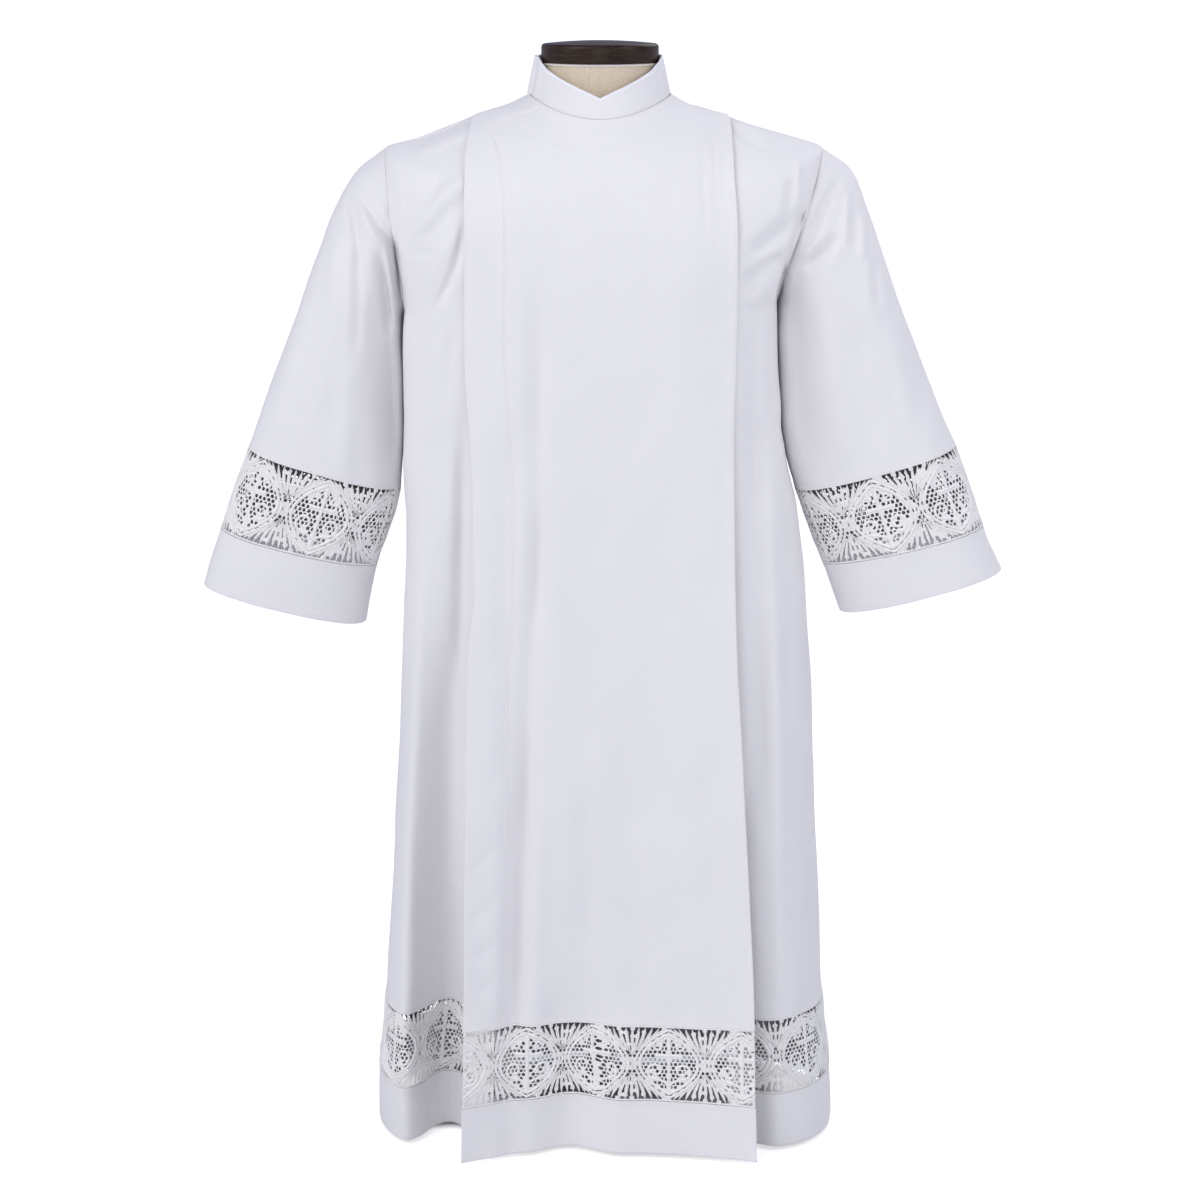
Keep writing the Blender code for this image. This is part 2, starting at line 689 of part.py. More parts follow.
def add_body():
    """The back, the two side fronts and the lap, each with its lace and its hem band."""
    rows_up = [LACE_TOP_ROW] + SKIRT_ROWS + ARMHOLE_ROWS + SHOULDER_ROWS
    pieces = (
        ("back", skin_point, back_ends, no_lift, rows_up + NECK_ROWS),
        ("lap", lap_point, lap_angles, lap_lift, rows_up + NECK_ROWS),
        ("side_front_right", skin_point, front_ends(-1), no_lift, rows_up),
        ("side_front_left", skin_point, front_ends(1), no_lift, rows_up),
    )
    lace_rows = [LACE_LOW_ROW, LACE_MIDDLE_ROW, LACE_TOP_ROW - SEAM_ROWS]
    hem_rows = [0.0, LACE_LOW_ROW - SEAM_ROWS]
    for name, surface, ends, lift, rows in pieces:
        first, last = ends(LACE_MIDDLE_ROW)
        line = [surface(LACE_MIDDLE_ROW, angle) for angle in evenly(first, last, 240)]
        shares, gaps = lace_layout(line, FIRST_CENTRES[name])
        columns = columns_between(ends, shares)
        add_wall(name, *wall_points(surface, rows, columns, lift, CLOTH), "cloth")
        add_wall("hem_" + name, *wall_points(surface, hem_rows, columns, lift, CLOTH), "cloth")
        lace = wall_points(surface, lace_rows, columns, lift, LACE_CLOTH)
        add_wall("lace_" + name, *lace, "lace", gaps=gaps)


def sleeve_wall(side, shares, turns, thickness):
    """The outer and inner points of a length of sleeve."""
    outer, inner = [], []
    beside = -armhole_normal(side)
    for share in shares:
        middle = sleeve_ring(side, share)[0]
        out_line, in_line = [], []
        for turn in turns:
            point = sleeve_point(side, share, turn)
            down = sleeve_point(side, share + 0.01, turn) - sleeve_point(side, max(0.0, share - 0.01), turn)
            round_it = sleeve_point(side, share, turn + 1) - sleeve_point(side, share, turn - 1)
            inward = round_it.cross(down).normalized()
            if inward.dot(middle - point) < 0:
                inward = -inward
            if share == 0.0:
                point += beside * SEAM
                inward = kept_beside(inward, beside)
            out_line.append(point)
            in_line.append(point + inward * thickness)
        outer.append(out_line)
        inner.append(in_line)
    return outer, inner


def add_sleeves():
    """The two sleeves, each a tube with a lace tube in two halves and a cuff."""
    cuff_shares = [LACE_LOW + SLEEVE_SEAM_SHARE, 1.0]
    lace_shares = [LACE_LOW, (LACE_LOW + LACE_TOP) / 2, LACE_TOP + SLEEVE_SEAM_SHARE]
    half_count = len(TURNS) // 2
    for side, name in ((-1, "right"), (1, "left")):
        add_wall("sleeve_" + name, *sleeve_wall(side, SLEEVE_SHARES, TURNS, CLOTH), "cloth", closed=True)
        add_wall("cuff_" + name, *sleeve_wall(side, cuff_shares, TURNS, CLOTH), "cloth", closed=True)
        halves = (("front", 0, 180.0), ("back", half_count, 360.0))
        for half, first, last_turn in halves:
            last = first + half_count
            turns = [TURNS[first] + LACE_SEAM_TURN] + TURNS[first + 1 : last] + [last_turn]
            gaps = {}
            for j in range(first, last):
                column = (j - SLEEVE_CENTRE) % LACE_COLUMNS
                gaps.update({(gap.row, j - first): gap for gap in GAPS if gap.column == column})
            lace = sleeve_wall(side, lace_shares, turns, LACE_CLOTH)
            add_wall(f"lace_sleeve_{name}_{half}", *lace, "lace", gaps=gaps)


def collar_point(share, angle):
    """A point of the collar at a share of its height and an angle, 90 at the front."""
    cosine, sine = math.cos(math.radians(angle)), math.sin(math.radians(angle))
    deep, middle_z = (COLLAR_DEEP_FRONT, NECK_FRONT) if sine > 0 else (COLLAR_DEEP_BACK, NECK_BACK)
    foot = NECK_SIDE + (middle_z - NECK_SIDE) * abs(sine) ** SHOULDER_ROUND + 2 * SEAM
    if sine > 0:
        top = along(COLLAR_FRONT, COLLAR_FRONT[-1].x * abs(cosine), "top")
    else:
        top = COLLAR_FRONT[-1].top + (COLLAR_BACK - COLLAR_FRONT[-1].top) * abs(sine)
    rise = share * (top - foot)
    inwards = COLLAR_LEAN * rise
    return Vector(((COLLAR_WIDE - inwards) * cosine, -(deep - inwards) * sine, foot + rise))


def add_collar():
    """The standing collar, open at the wearer's right."""
    angles = evenly(COLLAR_OPENING, 90, 8)[:-1] + evenly(90, COLLAR_OPENING + COLLAR_GAP - 360, 24)
    outer, inner = [], []
    for share in COLLAR_SHARES:
        out_line, in_line = [], []
        for angle in angles:
            point = collar_point(share, angle)
            out_line.append(point)
            in_line.append(point - Vector((point.x, point.y, 0)).normalized() * COLLAR_CLOTH)
        outer.append(out_line)
        inner.append(in_line)
    add_wall("collar", outer, inner, "cloth")


def add_turned(name, profile, finish):
    """A solid turned round the stand's axis, from (radius, height) points that begin and end on it."""
    mesh_data = bmesh.new()
    rings = []
    for radius, height in profile:
        if radius == 0.0:
            rings.append([mesh_data.verts.new((0, 0, height))])
            continue
        ring = []
        for k in range(ROUND_SIDES):
            turn = 2 * math.pi * k / ROUND_SIDES
            ring.append(mesh_data.verts.new((radius * math.cos(turn), radius * math.sin(turn), height)))
        rings.append(ring)
    for low, high in zip(rings, rings[1:]):
        for k in range(ROUND_SIDES):
            after = (k + 1) % ROUND_SIDES
            corners = [low[k % len(low)], low[after % len(low)]]
            corners += [high[after % len(high)], high[k % len(high)]]
            mesh_data.faces.new(list(dict.fromkeys(corners)))
    return add_object(name, mesh_data, finish)


def add_torso():
    """The dress form's body and neck, from its table of rings."""
    mesh_data = bmesh.new()
    rings = []
    for ring in FORM:
        points = []
        for k in range(FORM_SIDES):
            turn = 2 * math.pi * k / FORM_SIDES
            deep = ring.front if math.sin(turn) < 0 else ring.back
            x = ring.wide * power(math.cos(turn), 2 / ring.square)
            y = deep * power(math.sin(turn), 2 / ring.square)
            points.append(mesh_data.verts.new((x, y, ring.height)))
        rings.append(points)
    for low, high in zip(rings, rings[1:]):
        for k in range(FORM_SIDES):
            after = (k + 1) % FORM_SIDES
            mesh_data.faces.new((low[k], low[after], high[after], high[k]))
    mesh_data.faces.new(rings[0])
    mesh_data.faces.new(rings[-1])
    add_object("form_torso", mesh_data, "linen")


def add_stand():
    """The form's cap, flange, pole and base."""
    cap = [(0.0, CAP_LOW), (CAP_RADIUS - EDGE, CAP_LOW), (CAP_RADIUS, CAP_LOW + EDGE)]
    for turn in (0.0, 30.0, 60.0, 90.0):
        inwards = CAP_ROUND * (1 - math.cos(math.radians(turn)))
        below = CAP_ROUND * (1 - math.sin(math.radians(turn)))
        cap.append((CAP_RADIUS - inwards, CAP_TOP - below))
    cap.append((0.0, CAP_TOP))
    add_turned("form_cap", cap, "wood")

    flange = [
        (0.0, FLANGE_LOW),
        (FLANGE_NECK, FLANGE_LOW),
        (FLANGE_NECK + FLANGE_PLATE, FLANGE_TOP - FLANGE_PLATE),
        (FLANGE_RADIUS, FLANGE_TOP - FLANGE_PLATE),
        (FLANGE_RADIUS, FLANGE_TOP),
        (0.0, FLANGE_TOP),
    ]
    add_turned("form_flange", flange, "steel")

    pole = [(0.0, POLE_LOW), (POLE_RADIUS, POLE_LOW), (POLE_RADIUS, POLE_TOP), (0.0, POLE_TOP)]
    add_turned("form_pole", pole, "steel")

    hole = POLE_RADIUS + SEAM
    base = [
        (0.0, 0.0),
        (BASE_RADIUS, 0.0),
        (BASE_RADIUS, BASE_RIM - EDGE),
        (BASE_RADIUS - EDGE, BASE_RIM),
        (BASE_FOOT_RADIUS, BASE_FOOT_TOP),
        (BASE_HUB_RADIUS, BASE_HUB_LOW),
        (BASE_HUB_RADIUS, BASE_HUB_TOP - 2 * EDGE),
        (BASE_HUB_RADIUS - 2 * EDGE, BASE_HUB_TOP),
        (hole, BASE_HUB_TOP),
        (hole, POLE_LOW - SEAM),
        (0.0, POLE_LOW - SEAM),
    ]
    add_turned("form_base", base, "steel")


def main():
    for old in list(bpy.data.objects):
        bpy.data.objects.remove(old)
    add_body()
    add_sleeves()
    add_collar()
    add_torso()
    add_stand()


main()
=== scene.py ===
"""The looks of a knee-length alb with a lap front and bands of lace, worn by a limbless dress form.

+X is the wearer's left, -Y the front and +Z up, in metres. The skin, the lap and the sleeves follow the
tables and rules of the frame's solids, and are drawn more finely here, with their creases, their sewing
and the pattern of the lace. Going up the skin, a row number runs from 0 at the hem to 1 at the armpits,
2 at the tips of the shoulders and 3 at the neckline. Going round it, an angle runs from 0 at the
wearer's left, over 90 at the front, to 360.
"""

import logging
import math
from dataclasses import dataclass, field
from enum import Enum
from functools import lru_cache
from typing import Callable, Iterable, NamedTuple, Optional, Sequence

import bpy
import numpy as np
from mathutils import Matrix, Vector


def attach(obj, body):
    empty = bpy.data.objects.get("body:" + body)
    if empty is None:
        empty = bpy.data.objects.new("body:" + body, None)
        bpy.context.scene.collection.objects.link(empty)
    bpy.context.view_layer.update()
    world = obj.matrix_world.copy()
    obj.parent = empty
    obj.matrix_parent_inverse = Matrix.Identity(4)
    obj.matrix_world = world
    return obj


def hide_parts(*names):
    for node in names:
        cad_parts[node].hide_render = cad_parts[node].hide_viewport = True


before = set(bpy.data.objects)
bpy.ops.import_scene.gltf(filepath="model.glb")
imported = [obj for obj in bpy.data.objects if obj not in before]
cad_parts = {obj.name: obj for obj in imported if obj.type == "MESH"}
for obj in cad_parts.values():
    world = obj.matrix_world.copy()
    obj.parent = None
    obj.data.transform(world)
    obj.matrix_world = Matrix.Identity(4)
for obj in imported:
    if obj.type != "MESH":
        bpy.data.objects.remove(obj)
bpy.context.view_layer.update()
LOG = logging.getLogger("alb")
Array = np.ndarray
Piece, Material, Socket = bpy.types.Object, bpy.types.Material, bpy.types.NodeSocket
MM = 0.001

# ---------------------------------------------------------------- the garment's sizes

HEM, HEM_BAND, LACE_BAND, PIT = 0.006, 0.060, 0.085, 0.910
TIP_FRONT, TIP_BACK = 1.022, 1.040
NECK_FRONT, NECK_BACK, NECK_SIDE = 1.103, 1.127, 1.125
SHOULDER_ROUND = 2.0
SEAM = 0.0003
LAP_LIFT = 0.0032
LAP_SETTLE_ROWS = 0.07
LAP_SEAM_LIFT = 0.0011
SEAM_FORWARD = 0.010
SEAM_FORWARD_ROWS = 0.35
TURNED, STITCH_LINE = 0.0045, 0.0035


class Side(NamedTuple):
    """The half widths of the skin seen from the front, on the wearer's right and left."""

    height: float
    right: float
    left: float


class Depth(NamedTuple):
    """The depths of the skin seen from the side."""

    height: float
    front: float
    back: float


class Shape(NamedTuple):
    """How square a row is: 2 is an ellipse."""

    row: float
    square: float


class LapEdge(NamedTuple):
    """The half widths of the lap, and how far its sides hang in front of the skin."""

    height: float
    right: float
    left: float
    lift_right: float
    lift_left: float


class Fold(NamedTuple):
    """An upright fold: x at the hem and at its top, half width, depth outwards, and where it begins."""

    low_x: float
    high_x: float
    width: float
    depth: float
    begins: float
    whole: float


class Section(NamedTuple):
    """A rounded ring of a sleeve, from its outer to its inner point seen from the front."""

    share: float
    out_x: float
    out_z: float
    in_x: float
    in_z: float
    depth: float
    square: float


class Dip(NamedTuple):
    """The height of the collar's top edge at a distance from its middle."""

    x: float
    top: float


class Crease(NamedTuple):
    """A crease between two places seen from the front, with a half width, a depth outwards and a bow."""

    from_x: float
    from_z: float
    to_x: float
    to_z: float
    width: float
    depth: float
    bow: float = 0.0


# Columns of the tables that aren't lengths
PLAIN = ("share", "row", "square", "across", "upwards", "place")


def table(kind: type, *rows: tuple[float, ...]) -> tuple:
    """Make a table from rows in millimetres.

    Args:
        kind: The tuple of a row.
        *rows: The rows' values. Those of the PLAIN columns aren't in millimetres.

    Returns:
        The rows in metres.
    """
    units = [1.0 if name in PLAIN else MM for name in kind._fields]
    return tuple(kind(*(value * unit for value, unit in zip(row, units))) for row in rows)


SIDES = table(
    Side,
    (6, 246, 259), (59, 245, 256.5), (131, 238.5, 247.5), (249, 230, 241), (365, 223, 233.5),
    (479, 215.5, 228.5), (591, 209, 220.5), (695, 204.5, 208.5), (745, 204, 194), (790, 204, 185),
    (904, 204, 184), (916, 204, 184), (1070, 222, 230), (1080, 190, 205), (1094, 152, 156), (1108, 116, 113),
    (1115.5, 94, 90), (1125, 73.5, 73.5),
)
DEPTHS = table(
    Depth,
    (6, 135, 132), (131, 131, 129), (365, 125, 123), (591, 120.5, 117), (790, 119, 114), (910, 119, 113),
    (985, 116, 111), (1030, 109, 106), (1065, 98, 97), (1088, 87, 90), (1103, 78, 83), (1127, 78, 72),
)
SHAPES = table(Shape, (0, 3.35), (0.5, 3.2), (1, 3.2), (1.5, 3), (2, 2.6), (3, 2))
LAP_EDGES = table(
    LapEdge,
    (6, 150, 168, 32, 34), (180, 145.2, 164, 26, 25), (290, 143.3, 158.2, 21, 19), (400, 141, 151.6, 18, 16),
    (490, 138.9, 146.2, 13, 11), (565, 135.7, 141.5, 10.1, 8.7), (620, 129.6, 139.5, 8, 7),
    (720, 130, 137, 5.1, 4.6), (790, 132.4, 135.5, 3, 3), (850, 136.5, 137, 1.7, 1.7),
    (880, 136.9, 137.5, 1, 1), (920, 136.5, 138, 0, 0), (980, 135.8, 138, 0, 0), (1040, 135.5, 134.5, 0, 0),
    (1075, 130, 132.1, 0, 0), (1090, 127.5, 128.5, 0, 0), (1115, 124.5, 123.5, 0, 0),
)
LAP_AND_FRONT_FOLDS = table(Fold, (-93, -88, 26, -6, 900, 620), (-34, -24, 62, -21, 420, 10))
FRONT_FOLDS = table(
    Fold,
    (-165, -144, 53, -66, 820, 60), (-214, -190, 34, 5, 700, 100), (156, 150, 38, -17, 860, 250),
    (206, 180, 36, 4, 700, 200),
)
BACK_FOLDS = table(
    Fold,
    (-170, -150, 55, 9, 750, 80), (-100, -90, 60, -14, 850, 50), (-25, -10, 65, 10, 700, 50),
    (65, 50, 58, -13, 800, 50), (140, 120, 55, 10, 650, 80),
)
LACE_TOP, LACE_LOW = 0.66, 0.86
SLEEVES = {
    -1: table(
        Section,
        (0, 222, 1070, 204, 904, 64, 2), (0.07, 251, 1048, 206.5, 897, 66, 2),
        (0.15, 275, 1010, 207.5, 887, 68, 2.1), (0.26, 296.5, 958, 208, 871, 68, 2.2),
        (0.39, 321, 893, 208, 836, 65, 2.3), (0.53, 347, 825, 209, 782, 61, 2.3),
        (LACE_TOP, 371.5, 758, 215, 714, 56, 2.3), (LACE_LOW, 404, 669, 240.5, 629, 52, 2.3),
        (1, 427.5, 608, 252.5, 565.5, 50, 2.3),
    ),
    1: table(
        Section,
        (0, 230, 1070, 184, 916, 64, 2), (0.07, 258.5, 1049, 187, 909, 66, 2),
        (0.15, 279, 1008, 188.5, 899, 68, 2.1), (0.26, 299, 952, 189, 882, 68, 2.2),
        (0.39, 323.5, 886, 190, 846, 65, 2.3), (0.53, 349, 823, 191.5, 788, 61, 2.3),
        (LACE_TOP, 377.5, 760, 209, 713, 56, 2.3), (LACE_LOW, 410, 672, 238.5, 631, 52, 2.3),
        (1, 431.5, 624, 257.5, 577.5, 50, 2.3),
    ),
}
UNDERLAP = {-1: 0.28, 1: 0.15}

# Creases of the lap and of what lies under it, of the lap alone, and of the two side fronts
LAP_AND_FRONT_CREASES = table(
    Crease,
    (-64, 930, -63, 590, 14, -7.4), (-63, 690, -80, 380, 14.5, -8.2, 1), (-74, 470, -93, 120, 15, -10.4, 1),
    (-38, 560, -30, 140, 22, 2.6), (30, 470, 46, 130, 26, -3.4), (90, 530, 110, 150, 22, 2.8),
)
LAP_CREASES = table(
    Crease,
    (-82, 643, -80, 585, 3, -0.8), (-87, 459, -88, 428, 3, -0.8), (-104, 558, -131, 542, 5, -0.9),
    (-105, 425, -135, 412, 5, -0.9), (-106, 356, -137, 322, 6, -1.3), (-104, 300, -139, 267, 6, -1.6),
    (-104, 252, -136, 227, 6, -1.6), (-108, 213, -130, 188, 5, -1.2), (-58, 237, -96, 216, 6, -1.3),
    (-70, 206, -98, 196, 6, -1), (103, 1096, 107, 985, 4.5, -1.2), (115, 1100, 117, 974, 4, -1.2),
    (124, 1089, 123, 990, 3.5, -0.9), (96, 900, 132, 895, 4, -0.6), (101, 880, 132, 877, 4, -0.6),
    (-108, 1094, -88, 1090, 3, -0.6), (-122, 1060, -112, 960, 9, 1.2),
)
FRONT_CREASES = table(
    Crease,
    (-138, 1047, -190, 990, 12, 5.8), (-163, 1046, -181, 1018, 9, -3), (-136, 1004, -167, 914, 5.8, -4.2, -5),
    (-150, 990, -178, 930, 9, 2.6), (-192, 972, -164, 969, 5.2, -1.4), (-191, 1030, -199, 984, 5.8, -2.8),
    (-201, 1073, -124, 1103, 4.6, -2.2), (-194, 1064, -127, 1090, 5.6, 2), (-150, 900, -158, 820, 9, -2.2),
    (128, 1100, 134, 1086, 5.5, -2), (132, 1089, 170, 1073, 5.5, -2.8), (138, 1096, 178, 1082, 5.5, 2.2),
    (193, 1044, 188, 1006, 6.2, -3.4), (205, 1010, 150, 966, 12, -6.6), (188, 980, 150, 952, 9, 1.6),
    (186, 967, 142, 930, 12, -6.4, 4), (180, 944, 150, 915, 9, 2.2), (153, 924, 162, 700, 13, -7.2),
    (146, 880, 150, 500, 12, 1), (174, 782, 190, 396, 14, 3.4), (190, 430, 198, 120, 15, 3.4),
    (150, 700, 152, 400, 16, 4), (160, 450, 168, 60, 26, 12), (-139, 800, -146, 520, 11, -5.6),
    (-150, 600, -168, 120, 17.5, -4.4, 2), (-188, 656, -206, 341, 13, 4), (-206, 380, -211, 100, 13, 4),
)
# Creases that cross the armhole seams, so that the body and the sleeve both have them
ARMHOLE_FRONT_CREASES = table(
    Crease,
    (-220, 992, -202, 950, 5.8, -4), (-212, 984, -205, 912, 6.2, -15), (202, 1068, 202, 1012, 5.8, 3),
    (209, 1012, 190, 946, 6.2, -9), (192, 954, 183, 902, 6, -14),
)
ARMHOLE_BACK_CREASES = table(Crease, (-226, 1014, -200, 950, 8, -6), (222, 1018, 188, 950, 8, -6.5))
BACK_CREASES = table(
    Crease,
    (-196, 1002, -140, 955, 13, -5), (-190, 975, -150, 930, 10, 3), (-185, 950, -142, 890, 12, -4.5, 4),
    (194, 1008, 135, 965, 13, -5), (180, 968, 140, 905, 12, -4.5, -4), (-50, 1045, -58, 820, 20, 3.8),
    (45, 1050, 58, 800, 22, 3.6), (-5, 1010, 4, 720, 26, -3.6), (-75, 760, -88, 110, 18, -6.6),
    (60, 720, 70, 90, 19, -6.6), (115, 660, 128, 150, 17, 5), (-130, 620, -140, 140, 17, 5),
    (-20, 580, -26, 80, 20, 4.8), (20, 500, 24, 60, 16, -3.6), (-168, 640, -178, 80, 17, -5.4),
    (164, 600, 174, 80, 17, -5.4),
)
SLEEVE_FRONT_CREASES = {
    -1: table(
        Crease,
        (-252, 1030, -231, 1008, 5.6, -3), (-236, 1014, -214, 979, 5.8, -4), (-247, 1014, -222, 968, 5.6, 3.4),
        (-224, 1012, -210, 990, 4.5, 2.6), (-259, 1032, -248, 945, 7.5, -5.8, -4),
        (-247, 965, -252, 860, 8, -4.2), (-272, 985, -276, 900, 9, 2.6), (-226, 968, -219, 880, 6.5, -7.5),
        (-216, 952, -211, 890, 4.5, 3), (-214, 885, -214, 735, 11, -6), (-232, 940, -221, 740, 20, -12.5),
        (-290, 920, -312, 780, 14, -2.8), (-262, 860, -268, 720, 14, 2.8), (-318, 880, -345, 770, 12, 2.2),
    ),
    1: table(
        Crease,
        (247, 1044, 203, 969, 6, -4.8), (238, 1050, 205, 994, 6, 3), (223, 1058, 207, 1010, 5.6, -3.4),
        (242, 986, 211, 950, 9, -7), (232, 986, 204, 958, 6, 2.6), (255, 1028, 250, 978, 5.8, 2.8),
        (262, 1014, 260, 968, 5.6, -2.8), (271, 1002, 270, 962, 5.6, 2.6), (282, 958, 287, 912, 7, -3.4),
        (203, 930, 222, 735, 20, -12), (262, 900, 290, 760, 15, -2.8), (300, 880, 330, 770, 13, 2.4),
        (240, 890, 258, 730, 12, 2.4),
    ),
}
SLEEVE_BACK_CREASES = {
    -1: table(
        Crease,
        (-246, 1030, -206, 962, 7, -4.8), (-266, 1010, -236, 930, 9, -4), (-280, 960, -268, 860, 10, 2.6),
        (-236, 930, -232, 760, 16, -7), (-300, 900, -322, 770, 14, -2.4),
    ),
    1: table(
        Crease,
        (250, 1036, 206, 970, 7, -4.8), (268, 1005, 236, 935, 9, -4), (284, 955, 270, 850, 10, 2.6),
        (222, 930, 230, 750, 16, -7), (300, 890, 326, 770, 14, -2.4),
    ),
}

# The collar and the form, as in the frame
COLLAR_WIDE, COLLAR_DEEP_FRONT, COLLAR_DEEP_BACK = 0.0730, 0.0775, 0.0715
COLLAR_LEAN, COLLAR_OPENING = 0.22, 178.0
COLLAR_FRONT = table(Dip, (0, 1123), (54, 1150.5), (65.5, 1163))
COLLAR_BACK = 1.166


class FormRing(NamedTuple):
    """A ring of the dress form: its height, half width, the two depths and how square it is."""

    height: float
    wide: float
    front: float
    back: float
    square: float


FORM = table(
    FormRing,
    (430, 146, 82, 90, 2.3), (447, 158, 91, 99, 2.3), (530, 162, 94, 103, 2.3), (700, 145, 88, 87, 2.3),
    (860, 155, 101, 94, 2.3), (960, 170, 103, 99, 2.3), (1020, 188, 94, 94, 2.2), (1052, 192, 80, 82, 2.1),
    (1076, 166, 66, 68, 2), (1094, 122, 60, 62, 2), (1107, 84, 58, 59, 2), (1120, 64, 57, 58, 2),
    (1156.7, 58, 57, 57, 2),
)


# ---------------------------------------------------------------- small sums


def along(table: Sequence[NamedTuple], place: Array, column: str) -> Array:
    """Read a column of a table on a smooth curve that never overshoots.

    Args:
        table: Rows whose first value is their place.
        place: One place or many.
        column: The name of the value that is read.

    Returns:
        The value at each place.
    """
    places = np.array([row[0] for row in table])
    values = np.array([getattr(row, column) for row in table])
    steps = np.diff(places)
    slopes = np.diff(values) / steps
    product = slopes[:-1] * slopes[1:]
    tangents = np.zeros(len(places))
    tangents[0], tangents[-1] = slopes[0], slopes[-1]
    rising = product > 0
    tangents[1:-1][rising] = 2 * product[rising] / (slopes[:-1] + slopes[1:])[rising]
    at = np.clip(place, places[0], places[-1])
    k = np.clip(np.searchsorted(places, at, side="right") - 1, 0, len(steps) - 1)
    t = (at - places[k]) / steps[k]
    rise = values[k] * (1 + 2 * t) * (1 - t) ** 2 + values[k + 1] * t * t * (3 - 2 * t)
    return rise + steps[k] * (tangents[k] * t * (1 - t) ** 2 - tangents[k + 1] * t * t * (1 - t))


def eased(t: Array) -> Array:
    """Give 0 below 0, 1 above 1 and a smooth rise between."""
    t = np.clip(t, 0.0, 1.0)
    return t * t * (3 - 2 * t)


def bell(t: Array) -> Array:
    """Give 1 at 0 and a smooth fall to 0 at -1 and at 1."""
    return 0.5 * (1 + np.cos(np.pi * np.clip(t, -1.0, 1.0)))


def power(value: Array, exponent: float) -> Array:
    """Raise a value's size to a power and keep its sign."""
    return np.sign(value) * np.abs(value) ** exponent


def reach_along(points: Array, axis: int = 0) -> Array:
    """Give the distance of each point from the first along an axis."""
    steps = np.linalg.norm(np.diff(points, axis=axis), axis=-1)
    return np.insert(np.cumsum(steps, axis=axis), 0, 0.0, axis=axis)


def unit(vectors: Array) -> Array:
    """Give vectors the length of 1."""
    return vectors / np.maximum(np.linalg.norm(vectors, axis=-1, keepdims=True), 1e-12)


def turned_edge(distance: Array) -> Array:
    """Give the low step of an edge turned under at the lace, and the groove of its stitches."""
    step = 1 - eased((distance - TURNED) / 0.0012)
    return 0.0005 * step - 0.0004 * bell((distance - STITCH_LINE) / 0.0014)


def fold_depth(folds: Sequence[Fold], x: Array, z: Array) -> Array:
    """Work out how far the upright folds stand out of a skin.

    Args:
        folds: The folds.
        x: Places across the skin.
        z: Heights on it.

    Returns:
        The depth outwards at each place.
    """
    depth = np.zeros_like(x)
    for fold in folds:
        share = eased((fold.begins - z) / (fold.begins - fold.whole))
        middle = fold.high_x + (fold.low_x - fold.high_x) * share
        depth += fold.depth * share * bell((x - middle) / fold.width)
    return depth


def crease_depth(creases: Sequence[Crease], x: Array, z: Array) -> Array:
    """Work out how far creases stand out. Each has a soft rise beside it, as cloth has.

    Args:
        creases: The creases.
        x: Places across the cloth.
        z: Heights on it.

    Returns:
        The depth outwards at each place.
    """
    depth = np.zeros_like(x)
    for crease in creases:
        run_x, run_z = crease.to_x - crease.from_x, crease.to_z - crease.from_z
        length = math.hypot(run_x, run_z)
        t = ((x - crease.from_x) * run_x + (z - crease.from_z) * run_z) / length**2
        aside = ((x - crease.from_x) * run_z - (z - crease.from_z) * run_x) / length
        aside = aside - crease.bow * 4 * t * (1 - t)
        ends = eased((t + 0.12) / 0.40) * eased((1.12 - t) / 0.40)
        square = (aside / crease.width) ** 2
        depth += crease.depth * ends * (1 - 0.8 * square) * np.exp(-square)
    return depth


class Wave(NamedTuple):
    """A slow wave of the cloth: its turns a metre across and upwards, its place and its height."""

    across: float
    upwards: float
    place: float
    height: float


UNEVEN = table(
    Wave,
    (7.1, 1.3, 0.4, 0.55), (-11.7, 2.1, 1.9, 0.42), (17.3, -3.9, 4.4, 0.28),
    (5.3, 5.9, 2.7, 0.35), (23.9, 4.7, 0.9, 0.16), (-3.1, 9.7, 5.2, 0.20),
)


def unevenness(x: Array, z: Array) -> Array:
    """Sum the slow waves that keep hanging cloth from being even.

    Args:
        x: Places across the cloth.
        z: Heights on it.

    Returns:
        The depth outwards at each place.
    """
    bent = x + 0.012 * np.sin(2 * np.pi * 3.3 * z) + 0.006 * np.sin(2 * np.pi * 7.9 * z + 1.0)
    depth = np.zeros_like(x)
    for wave in UNEVEN:
        depth += wave.height * np.sin(2 * np.pi * (wave.across * bent + wave.upwards * z) + wave.place)
    return depth


# ---------------------------------------------------------------- the skin, the lap and the sleeves


def sleeve_ring(side: int, share: float) -> tuple[Array, Array, float, float, float]:
    """Find a ring of a sleeve.

    Args:
        side: -1 for the wearer's right and 1 for the left.
        share: The place along the sleeve, from 0 at the armhole to 1 at the cuff.

    Returns:
        Its centre, its direction outwards across the sleeve, half width, half depth and squareness.
    """
    value = {name: float(along(SLEEVES[side], share, name)) for name in Section._fields[1:]}
    outer = np.array((side * value["out_x"], 0.0, value["out_z"]))
    inner = np.array((side * value["in_x"], 0.0, value["in_z"]))
    half = float(np.linalg.norm(outer - inner)) / 2
    return (outer + inner) / 2, (outer - inner) / (2 * half), half, value["depth"], value["square"]


def sleeve_points(side: int, share: float, turns: Array) -> Array:
    """Find points round a sleeve, with 0 at its inner edge, 90 at its front and 180 at its outer edge.

    Args:
        side: -1 for the wearer's right and 1 for the left.
        share: The place along the sleeve.
        turns: Degrees round it.

    Returns:
        One point a turn.
    """
    middle, across, half, depth, square = sleeve_ring(side, share)
    cosine = power(np.cos(np.radians(turns)), 2 / square)[:, None]
    sine = power(np.sin(np.radians(turns)), 2 / square)[:, None]
    return middle - across * half * cosine - np.array((0.0, depth, 0.0)) * sine


